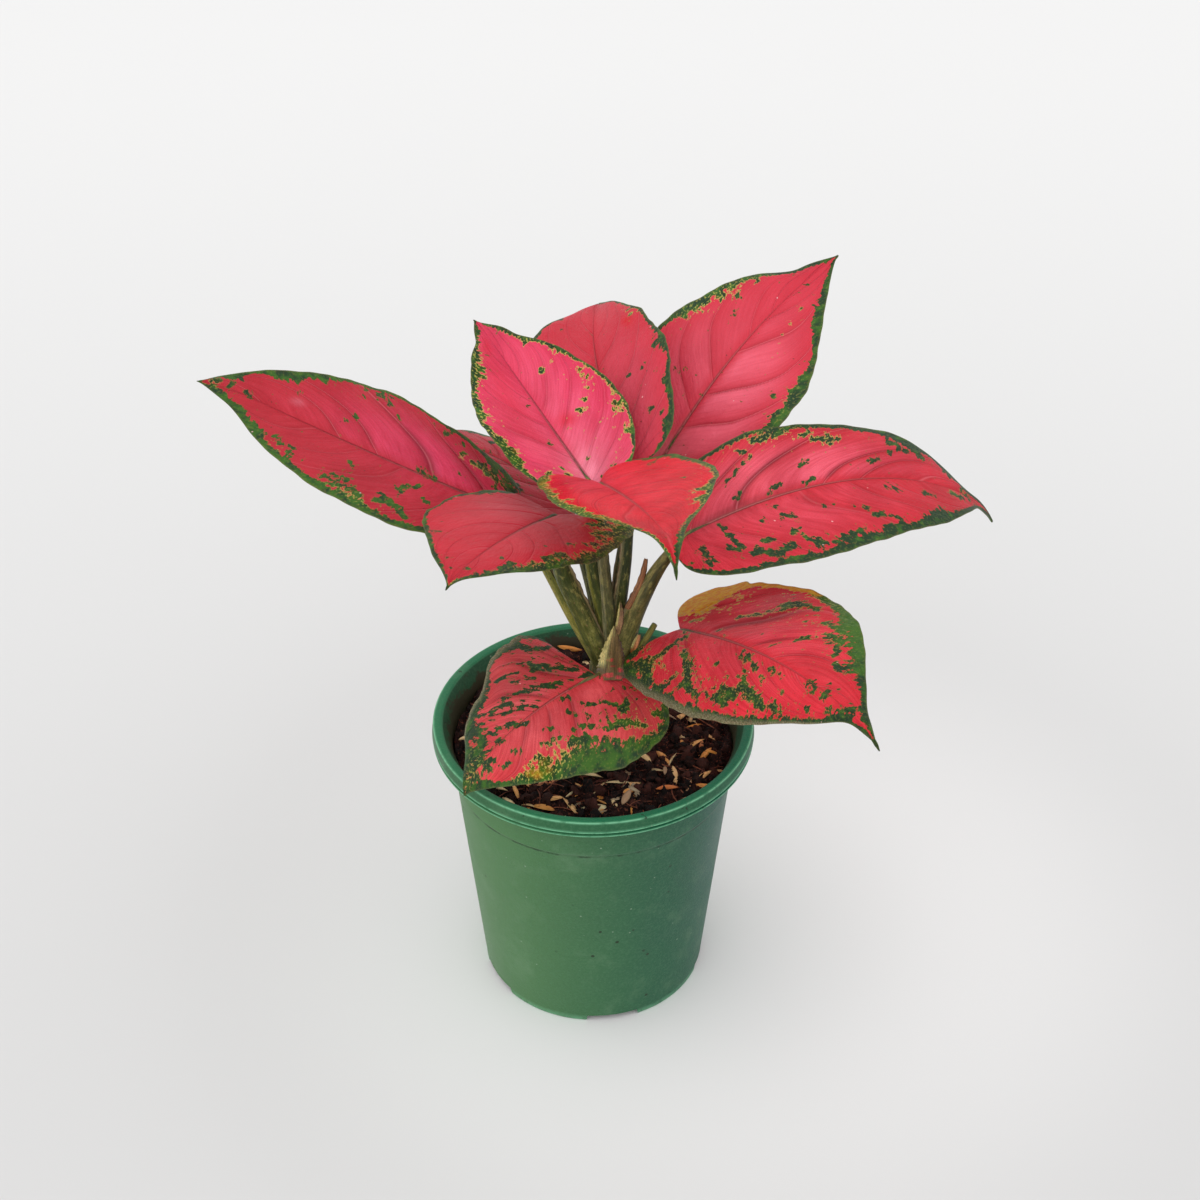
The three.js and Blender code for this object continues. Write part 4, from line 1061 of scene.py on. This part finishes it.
def stem_material():
    m = Shader("stalk_skin")
    place = m.attr("place")[0]
    _, t, web, bark = m.attr("tone")
    base = m.colour("col_skin")
    fibre = m.mottle(place, 0.12, 1.2, 3.0, 0.7)
    cloud = m.mottle(place, 0.22, 0.5, 4.0, 0.65)
    pores = m.mottle(place, 2.2, 2.6, 2.0, 0.6)
    scuff = m.mottle(place, 0.35, 1.1, 4.0, 0.7)
    dots = m.dots(m.scale(place, (0.12, 0.3, 1)))
    film = m.mix(m.step(fibre, 0.4, 0.6), rgb(128, 108, 76), rgb(168, 154, 116))
    old = m.mix(m.step(fibre, 0.4, 0.65), rgb(92, 72, 44), rgb(140, 120, 78))
    brown = m.step(web, 0.8, 0.97) * m.step(pores, 0.35, 0.5, 0.4, 0.95)
    colour = m.coats(
        m.tint(m.step(fibre, 0.46, 0.6, 0.0, 0.7), base, (1.5, 1.42, 1.4)),
        (m.step(fibre, 0.5, 0.37, 0.0, 0.75), m.tint(1.0, base, (0.42, 0.5, 0.4))),
        (m.step(cloud, 0.5, 0.38, 0.0, 0.65), m.tint(1.0, base, (0.5, 0.6, 0.45))),
        (m.step(cloud, 0.53, 0.63, 0.0, 0.6), rgb(156, 150, 84)),
        (m.step(pores, 0.5, 0.62, 0.0, 0.45), rgb(58, 60, 28)),
        (m.step(scuff, 0.6, 0.66) * m.step(t, 0.6, 0.1, 0.1, 0.8), rgb(150, 112, 78)),
        (m.step(web, 0.3, 0.75, 0.0, 0.85), film),
        (brown, rgb(84, 48, 32)),
        (bark, old),
        (m.step(dots, 0.1, 0.06, 0.0, 0.85), rgb(44, 28, 18)),
    )
    normal = m.bump(fibre + cloud * 0.5 + pores * 0.3, 0.0006, 0.8)
    rough = m.step(cloud, 0.3, 0.7, 0.36, 0.56)
    return m.surface(Base_Color=colour, Roughness=rough, Normal=normal, Specular_IOR_Level=0.35)


# ---- pot ----------------------------------------------------------------------------------

# Rows of (radius, height, painted highlight along the edges), up the outside, over the rim
# and down the inside.
POT_OUTSIDE = [
    (0, 0, 0), (30, 0, 0), (45.3, 0, 0.3), (46.1, 0.15, 0.6), (46.45, 0.6, 0.5), (46.7, 3.5, 0),
    (51.5, 52, 0), (56.2, 100, 0), (56.4, 101.9, 0), (56.5, 102.3, 0), (57.0, 102.9, 0),
    (57.15, 103.3, 0), (57.2, 104, 0), (57.8, 112, 0), (58.4, 119.3, 0), (58.9, 122, 0),
    (59.3, 123.7, 0), (62.4, 123.8, 0), (63.3, 120, 0), (63.5, 119.6, 0.2), (63.9, 119.45, 0.5),
    (64.5, 119.5, 1.0), (64.8, 119.75, 1.0), (64.85, 120.2, 0.3), (64.75, 120.5, 0),
    (64.2, 120.7, 0), (64.15, 121.0, 0), (64.3, 121.3, 0.1), (64.8, 121.5, 0.8),
    (65.0, 121.75, 1.0), (64.95, 122.1, 0.3), (64.85, 123, 0), (64.6, 125.4, 0),
    (64.5, 125.9, 0.2), (64.3, 126.25, 0.9),
]
POT_BRIM = [
    (63.95, 126.43, 0.3), (63.5, 126.5, 0), (61.6, 126.5, 0), (61.1, 126.4, 0), (60.7, 126.1, 0.1),
]
POT_INSIDE = [
    (60.3, 125.5, 0), (58.6, 122.4, 0), (57.3, 119.4, 0), (56.6, 112, 0), (56.0, 104, 0),
    (55.8, 103.2, 0), (55.3, 102.3, 0), (55.0, 101, 0), (50.2, 52, 0), (45.5, 4, 0), (45.2, 2.0, 0),
    (44.8, 1.6, 0), (30, 1.6, 0), (0, 1.6, 0),
]
NOTCHES, NOTCH_FIRST = 5, -80        # how many, and the place of one in degrees
NOTCH_HIGH, NOTCH_WIDE = 3.0, 21.5
NOTCH_FROM, NOTCH_TO = 40.2, 50      # distance from the middle of the pot
SHARP_OVER = 38                      # degrees


def notch_cutter():
    """Blocks that cut the drain notches out of the foot, each a little narrower at its top."""
    low, high = NOTCH_WIDE / 2 + 0.6, NOTCH_WIDE / 2 - 0.3
    outline = [(-low, -1), (low, -1), (high, NOTCH_HIGH), (-high, NOTCH_HIGH)]
    faces = tube(2, 4, flip=True, caps=False) + [[3, 2, 1, 0], [4, 5, 6, 7]]
    blocks = []
    for i in range(NOTCHES):
        block = np.array([(x, y, z) for x in (NOTCH_FROM, NOTCH_TO) for y, z in outline])
        at = math.radians(NOTCH_FIRST + 360 / NOTCHES * i)
        blocks.append((block @ rotation(at, 0, 0).T, faces, {}))
    verts, faces, _ = join(blocks)
    return build("cutter", verts, faces, [])


def make_pot(material):
    prof = np.array(POT_OUTSIDE + POT_BRIM + POT_INSIDE)
    angle = around(240)
    wobble = 1 + 0.0012 * sin(2 * angle + 0.7) + 0.0006 * sin(3 * angle)
    ends = [(0, 0, prof[0, 1]), (0, 0, prof[-1, 1])]
    ob = build("pot_shell", *turned(ringed(prof[1:-1], angle, wobble), ends, flip=True), [material])
    cutter = notch_cutter()
    mod = ob.modifiers.new("notches", "BOOLEAN")
    mod.operation = "DIFFERENCE"
    mod.solver = "EXACT"
    mod.object = cutter
    apply_modifiers(ob)
    bpy.data.objects.remove(cutter)
    edges_sharp_over(ob, SHARP_OVER)
    at = np.zeros(len(ob.data.vertices) * 3)
    ob.data.vertices.foreach_get("co", at)
    at = at.reshape(-1, 3) / MM
    r = np.hypot(at[:, 0], at[:, 1])
    row = np.hypot(r[:, None] - prof[:, 0], at[:, 2:] - prof[:, 1]).argmin(1)
    brim, inside = len(POT_OUTSIDE), len(POT_OUTSIDE + POT_BRIM)
    # per point: the painted highlight of its row, whether it is inside, and whether on the brim
    painted_glint = stacked(row.shape, prof[row, 2], row >= inside, (row >= brim) & (row < inside))
    attribute = ob.data.attributes.new("painted_glint", "FLOAT_VECTOR", "POINT")
    attribute.data.foreach_set("vector", painted_glint.astype(np.float32).ravel())
    return piece(ob, "pot_plastic", "pot")


def apply_modifiers(ob):
    bpy.context.view_layer.update()
    dg = bpy.context.evaluated_depsgraph_get()
    evaluated = ob.evaluated_get(dg)
    mesh = bpy.data.meshes.new_from_object(evaluated, preserve_all_data_layers=True, depsgraph=dg)
    ob.modifiers.clear()
    ob.data = mesh


def edges_sharp_over(ob, degrees):
    """Smooth faces, with the edges sharp where these meet at more than so many degrees."""
    bm = bmesh.new()
    bm.from_mesh(ob.data)
    limit = math.radians(degrees)
    for e in bm.edges:
        e.smooth = len(e.link_faces) == 2 and e.calc_face_angle(0) < limit
    for f in bm.faces:
        f.smooth = True
    bm.to_mesh(ob.data)
    bm.free()


def pot_material():
    m = Shader("pot_green")
    at = m.place()
    x, y, z = [v / MM for v in m.split(at)]
    _, painted_glint, inside, brim = m.attr("painted_glint")
    cloud = m.noise(at, 18, 4, 0.6)
    fine = m.noise(at, 900, 2, 0.6)
    grain = m.noise(at, 2200, 2, 0.6)
    # painted light and shade: the pot lighter and yellower on the left, darker and bluer on the
    # right, strongest on the front
    front = m.step(y, 40, -30, 0.3, 1.0)
    side = m.step(x, -55, 50, -0.5, 0.5) * front + 0.5
    rim = m.step(z, 118.5, 119.5)
    wall = m.step(z, 122.2, 122.6) * m.step(z, 126.2, 125.6)
    dust = m.step(m.noise(at, 42, 4, 0.65), 0.52, 0.8, 0.0, 0.35)
    # noise that breaks up the painted highlight lines
    glint_breaks = m.step(m.noise(at, 260, 3, 0.7), 0.3, 0.55, 0.35, 1.0)
    colour = m.mix(m.step(cloud, 0.35, 0.65), rgb(32, 84, 48), rgb(42, 94, 54))
    # the lit left and the shaded right colour of the painted light
    left, right = m.mix(0.55, colour, rgb(104, 148, 92)), m.mix(0.6, colour, rgb(12, 76, 66))
    colour = m.coats(
        m.mix(side, left, right),
        # more painted shade, tinted blue, on the right front
        (m.step(x, 35, 60, 0.0, 0.35) * front, rgb(24, 84, 96)),
        (rim * 0.5, rgb(18, 104, 72)),
        (wall * 0.45, rgb(34, 78, 44)),
        # painted highlight: the top face of the brim lighter
        (brim * 0.5, rgb(30, 134, 92)),
        (inside * 0.8, rgb(42, 86, 62)),
        (m.step(fine, 0.4, 0.75, 0.0, 0.25), rgb(84, 132, 96)),
        (m.step(grain, 0.45, 0.75, 0.0, 0.3), rgb(24, 74, 50)),
        (dust, rgb(112, 146, 112)),
        # painted highlight lines along the edges of the rim and the foot
        (painted_glint * glint_breaks, rgb(128, 200, 156)),
    )

    # the step below the rim: a broken dark line under it, partly dirt and partly painted shade;
    # dirt as specks, and where soil has washed up the inner wall
    line = m.step(abs(z - 101.6), 0.2, 0.7, 1.0, 0.0)
    broken = m.step(m.noise(at, 130, 3, 0.7), 0.42, 0.58, 0.12, 0.72)
    patch = m.step(m.noise(at, 30, 2, 0.5), 0.46, 0.56, 0.0, 0.8)
    washed = m.noise(at, 85, 4, 0.7) + m.step(z, 126.2, 113, -0.1, 0.5)
    chips = m.step(m.noise(at, 190, 3, 0.7), 0.66, 0.7, 0.0, 0.7) * rim
    # a greyish rub mark on the right
    spot = m.distance(m.scale(at, (1.0, 1.0, 0.7)), (0.0525, -0.008, 0.043))
    rub = m.step(spot, 0.013, 0.004, 0.0, 0.55) * m.step(m.noise(at, 160, 4, 0.7), 0.45, 0.62)
    colour = m.coats(
        colour,
        # partly dirt and partly painted shade under the step
        (line * broken * (1.0 - inside), rgb(18, 36, 20)),
        (m.step(m.dots(at, 110.0), 0.1, 0.07) * patch, rgb(30, 34, 22)),
        (m.step(m.dots(at, 150.0), 0.07, 0.04, 0.0, 0.55), rgb(150, 172, 150)),
        (m.step(washed, 0.5, 0.62, 0.0, 0.85) * inside, rgb(66, 56, 42)),
        (chips, rgb(30, 36, 22)),
        (rub, rgb(128, 124, 118)),
    )
    normal = m.bump(fine * 0.6 + grain, 0.00022, 0.55)
    rough = m.step(cloud, 0.3, 0.7, 0.38, 0.5)
    return m.surface(Base_Color=colour, Roughness=rough, Normal=normal, Specular_IOR_Level=0.22)


# ---- soil ---------------------------------------------------------------------------------

SOIL, SOIL_EDGE = 114.0, 56.3      # height and radius of its surface
SOIL_BELOW = [(55.6, 108), (54.6, 101), (50.0, 52), (45.0, 4), (44.6, 2.1), (20, 2.1)]
STREWN, FIBRES_TO = 54.0, 54.5     # how far from the middle things lie on it
COLLAR = 8.0                       # radius of the soil raised round the stem


def lumps(x, y):
    """Uneven height of the soil."""
    z = np.zeros_like(x)
    r = np.random.default_rng(5)
    for scale, amp in ((30, 0.8), (14, 0.8), (7, 0.75), (3.6, 0.55), (2.0, 0.35)):
        for _ in range(5):
            a, ph = r.uniform(0, TURN), r.uniform(0, TURN)
            wave = (x * cos(a) + y * sin(a)) * TURN / scale + ph + 1.3 * sin(y * 4 / scale + ph)
            z = z + amp * 0.5 * sin(wave)
    return z


def soil_height(x, y):
    """Height of the soil, heaped against the wall at the back and a little on the left."""
    r = np.hypot(x, y)
    banked = 6.5 * bell(x, -14, 17) * (y > 0) + 2.6 * smooth(-20, -50, x)
    return SOIL + lumps(x, y) + smooth(36, 55, r) * banked - smooth(50, SOIL_EDGE, r)


def make_soil(material):
    rings, angle = 70, around(220)
    r = (np.linspace(0, 1, rings + 1)[1:] * SOIL_EDGE)[:, None]
    x, y = r * cos(angle), r * sin(angle)
    z = soil_height(x, y) + 1.2 * bell(np.hypot(x - STEM[0], y - STEM[1]), COLLAR, 5)
    surface = np.stack([x, y, z], -1)
    ends = [(0, 0, SOIL), (0, 0, SOIL_BELOW[-1][1])]
    verts, faces = turned(np.vstack([surface, ringed(np.array(SOIL_BELOW), angle)]), ends)
    return piece(build("soil_bed", verts, faces, [material]), "soil", "soil")


def on_soil(count):
    """Random places on the soil, besides those at the stem; drawn one by one."""
    for _ in range(count):
        r, a = STREWN * math.sqrt(rng.uniform()), rng.uniform(0, TURN)
        x, y = r * math.cos(a), r * math.sin(a)
        if math.hypot(x - STEM[0], y - STEM[1]) > COLLAR:
            yield x, y, soil_height(x, y)


def clods(count):
    """Crumbs of soil: round lumps of few faces."""
    n, m = shape = 6, 8
    u, v = np.linspace(0.12, pi - 0.12, n)[:, None], around(m)
    parts = []
    for x, y, z in on_soil(count):
        r = 0.6 + 2.4 * rng.uniform() ** 2
        lump = r * (1 + 0.28 * rng.standard_normal(shape))
        size = rng.uniform(0.7, 1.3, 3) * (1.2, 1, 0.75)
        p = stacked(shape, lump * sin(u) * cos(v), lump * sin(u) * sin(v), lump * cos(u)) * size
        p = p @ rotation(*rng.uniform(0, TURN, 3)).T + (x, y, z + 0.3)
        parts.append((p, tube(n, m), {"tone": stacked(shape, rng.uniform(), rng.uniform(), 0)}))
    return join(parts)


def hulls(count):
    """Rice hulls: thin pointed boats, deeper on one side than the other."""
    n, m = shape = 14, 10
    t, v = np.linspace(0.01, 0.99, n)[:, None], around(m)
    parts = []
    for x, y, z in on_soil(count):
        length, wide = rng.uniform(8.0, 12.5), rng.uniform(0.9, 1.5)
        deep = rng.uniform(0.35, 0.9) * np.where(sin(v) > 0, 1, 0.35)
        r = np.maximum(0.05, sin(pi * t ** rng.uniform(0.8, 1.25)) ** 0.8)
        bend = rng.uniform(0.2, 1.0) * (t - 0.5) ** 2 * 4
        p = stacked(shape, (t - 0.5) * length, wide * r * cos(v), deep * r * sin(v) - bend)
        p = p @ rotation(rng.uniform(0, TURN), rng.normal(0, 0.25), rng.normal(0, 0.5)).T
        tone = stacked(shape, rng.uniform(), t, v)
        parts.append((p + (x, y, z + 0.9), tube(n, m, flip=True), {"tone": tone}))
    return join(parts)


def fibres(count):
    """Coir fibres: thin bent threads, kept off the wall of the pot."""
    n, m = shape = 12, 5
    t, v = np.linspace(0, 1, n), around(m)[:, None]
    parts = []
    for x, y, z in on_soil(count):
        length, a = rng.uniform(5, 16), rng.uniform(0, TURN)
        head = a + rng.normal(0, 0.9) * t
        rise = rng.normal(0, 0.1) + 0.25 * (0.5 - t)
        c = np.cumsum(np.stack([cos(head), sin(head), rise], -1) * length / n, 0)
        c += (x, y, z + 0.8) - c[n // 2]
        c[:, :2] *= np.minimum(1, FIBRES_TO / np.hypot(c[:, 0], c[:, 1]))[:, None]
        side = np.stack([-sin(head), cos(head), 0 * head], -1)[:, None, :]
        r = rng.uniform(0.1, 0.28)
        ring = c[:, None, :] + r * cos(v) * side + r * sin(v) * (0, 0, 1)
        tone = stacked(shape, rng.uniform(), 0, 0)
        parts.append((ring.reshape(-1, 3), tube(n, m), {"tone": tone}))
    return join(parts)


def soil_material():
    m = Shader("soil_dark")
    at = m.place()
    big, small = m.noise(at, 260, 4, 0.7), m.noise(at, 900, 3, 0.7)
    colour = m.mix(m.step(big, 0.35, 0.7), rgb(12, 7, 7), rgb(60, 32, 27))
    colour = m.mix(m.step(small, 0.56, 0.66, 0.0, 0.85), colour, rgb(138, 80, 60))
    normal = m.bump(big + small, 0.0012, 0.9)
    return m.surface(Base_Color=colour, Roughness=0.85, Normal=normal, Specular_IOR_Level=0.3)


def clod_material():
    m = Shader("soil_clod")
    small = m.noise(m.place(), 700, 3, 0.7)
    colour = m.mix(m.step(m.attr("tone")[1], 0.2, 1.0), rgb(13, 8, 7), rgb(80, 44, 36))
    colour = m.mix(m.step(small, 0.5, 0.75, 0.0, 0.6), colour, rgb(104, 60, 46))
    normal = m.bump(small, 0.0013, 0.9)
    return m.surface(Base_Color=colour, Roughness=0.85, Normal=normal, Specular_IOR_Level=0.3)


def hull_material():
    m = Shader("rice_hull")
    _, a, t, v = m.attr("tone")
    small = m.noise(m.place(), 500, 3, 0.6)
    colour = m.coats(
        m.mix(a, rgb(250, 170, 78), rgb(255, 242, 188)),
        (m.step(small, 0.5, 0.75, 0.0, 0.5), rgb(140, 84, 44)),
        (m.step(m.math("FRACT", a * 13.7), 0.86, 0.9, 0.0, 0.7), rgb(224, 108, 48)),
        (m.step(m.math("FRACT", a * 7.3), 0.88, 0.92, 0.0, 0.7), rgb(150, 132, 118)),
        (m.step(t, 0.12, 0.0, 0.0, 0.6), rgb(88, 54, 32)),
    )
    ribs = m.math("SINE", v * 6.0)
    normal = m.bump(small * 0.5 + ribs * 0.4, 0.00025, 0.7)
    return m.surface(Base_Color=colour, Roughness=0.6, Normal=normal, Specular_IOR_Level=0.35)


def fibre_material():
    m = Shader("coir_fibre")
    small = m.noise(m.place(), 700, 2, 0.6)
    colour = m.mix(m.attr("tone")[1], rgb(74, 32, 24), rgb(164, 96, 66))
    colour = m.mix(m.step(small, 0.45, 0.7, 0.0, 0.5), colour, rgb(50, 28, 20))
    return m.surface(Base_Color=colour, Roughness=0.75)


# ---- dried sheath -------------------------------------------------------------------------


def dried_sheath(material):
    foot, tip = np.array([13.4, -1.6, 181.5]), np.array([20.4, -0.4, 204.3])
    n, m = 40, 9
    t, u = np.linspace(0, 1, n)[:, None], np.linspace(-1, 1, m)
    out = np.array([0, -1.0, 0])
    across = np.cross(out, (tip - foot) / np.linalg.norm(tip - foot))
    centre = foot + (tip - foot) * t - 1.2 * sin(pi * t) * across
    half = 1.5 * (0.8 + 0.2 * sin(pi * np.minimum(1, t * 1.4))) * (1 - 0.5 * t**10)
    sideways = half * u * (1 + 0.06 * sin(34 * t) * np.abs(u) ** 3)
    skin = centre[:, None, :] + sideways[..., None] * across + (0.35 - 0.55 * u**2)[:, None] * out
    thick = (0.16 * (1 - 0.6 * u**2))[:, None] * out
    verts = wrapped(skin + thick, skin - thick).reshape(-1, 3)
    attrs = {"place": stacked((n, 2 * m), t * 24, there_and_back(u) * 2, 0)}
    ob = build("dried_sheath_skin", verts, tube(n, 2 * m), [material], attrs)
    return piece(ob, "dry_sheath", "dried_sheath")


def dry_material():
    m = Shader("dry_sheath_skin")
    place, _, u, _ = m.attr("place")
    fibre = m.mottle(place, 0.12, 1.8, 3.0, 0.6)
    cloud = m.mottle(place, 0.4, 0.6, 3.0, 0.6)
    dots = m.dots(m.scale(place, (0.35, 0.6, 1)))
    colour = m.coats(
        m.mix(m.step(fibre, 0.35, 0.7), rgb(112, 70, 40), rgb(168, 118, 74)),
        (m.step(cloud, 0.55, 0.7, 0.0, 0.6), rgb(108, 68, 50)),
        (m.step(dots, 0.16, 0.1, 0.0, 0.9), rgb(40, 24, 18)),
        (m.step(u, -1.1, -1.7, 0.0, 0.85), rgb(46, 30, 20)),
    )
    return m.surface(Base_Color=colour, Roughness=0.6, Normal=m.bump(fibre, 0.0003, 0.7))


# ---- floor, light and camera --------------------------------------------------------------

# In metres and degrees. The camera was fitted to the ellipses of the pot's rim and foot.
CAMERA_AT, CAMERA_TILT, CAMERA_LENS = (0.00274, -0.6899, 0.6857), 54, 66.0
FLOOR_HALF = 6.0
SKY = 0.8


def stage():
    """A light grey floor with painted light: lighter round the pot's foot, against its shadow, and
    far behind it.
    """
    m = Shader("floor_paint")
    at = m.place()
    away = m.distance(at, (0.06, 0.02, 0.0))
    colour = m.coats(
        # painted light: darker near the front, lighter far behind
        m.mix(m.step(m.split(at)[1], -0.35, 1.1), (0.635, 0.635, 0.635), (0.765, 0.765, 0.765)),
        (m.step(m.noise(at, 2.2, 2, 0.5), 0.35, 0.65, 0.0, 0.08), (0.73, 0.73, 0.73)),
        # painted light round the pot's foot, against its shadow
        (m.step(away, 0.24, 0.08, 0.0, 0.75), (0.86, 0.86, 0.86)),
    )
    s = FLOOR_HALF / MM
    paint = m.surface(Base_Color=colour, Roughness=0.9, Specular_IOR_Level=0.1)
    corners = [(-s, -s, 0), (s, -s, 0), (s, s, 0), (-s, s, 0)]
    build("floor", corners, [(0, 1, 2, 3)], [paint])


def sun(name, place, width, power, colour=(1, 1, 1)):
    """A far lamp, width degrees across, that shines from place to the middle."""
    data = bpy.data.lights.new(name, "SUN")
    data.angle = math.radians(width)
    data.energy = power
    data.color = colour
    ob = bpy.data.objects.new(name, data)
    ob.location = place
    ob.rotation_euler = (-Vector(place)).to_track_quat("-Z", "Y").to_euler()
    bpy.context.scene.collection.objects.link(ob)


def light_and_camera():
    world = bpy.data.worlds.new("studio")
    world.use_nodes = True
    background = world.node_tree.nodes["Background"]
    background.inputs["Color"].default_value = (1.0, 1.0, 1.0, 1.0)
    background.inputs["Strength"].default_value = SKY
    scene = bpy.context.scene
    scene.world = world
    scene.view_settings.view_transform = "Standard"
    sun("key", (-0.5, -0.34, 1.0), 110, 1.15, (1.0, 0.985, 0.965))
    sun("fill", (0.45, -0.85, 0.75), 100, 0.45, (0.95, 0.97, 1.0))
    data = bpy.data.cameras.new("camera")
    data.lens = CAMERA_LENS
    data.sensor_width = 36.0
    data.clip_end = 30.0
    cam = bpy.data.objects.new("camera", data)
    cam.location = CAMERA_AT
    cam.rotation_euler = (math.radians(CAMERA_TILT), 0, 0)
    scene.collection.objects.link(cam)
    scene.camera = cam


# ---- everything ---------------------------------------------------------------------------

light_and_camera()
stage()
make_pot(pot_material())
make_soil(soil_material())
for name, maker, count, material in (
    ("soil_clods", clods, 750, clod_material()),
    ("soil_hulls", hulls, 170, hull_material()),
    ("soil_fibres", fibres, 240, fibre_material()),
):
    verts, faces, attrs = maker(count)
    piece(build(name, verts, faces, [material], attrs), "soil")
blade_materials = [leaf_material(), leaf_material(under=True)]
leaves = [LEAF_DEFAULTS | leaf for leaf in LEAVES]
for number, leaf in enumerate(leaves):
    make_leaf(number, leaf, blade_materials)
parts = [trunk(), *(petiole(leaf, number) for number, leaf in enumerate(leaves)), stalk(**STUB)]
verts, faces, attrs = join(parts + [scrap(**row) for row in SCRAPS])
piece(build("stalks", verts, faces, [stem_material()], attrs), "stalk", "stems")
dried_sheath(dry_material())
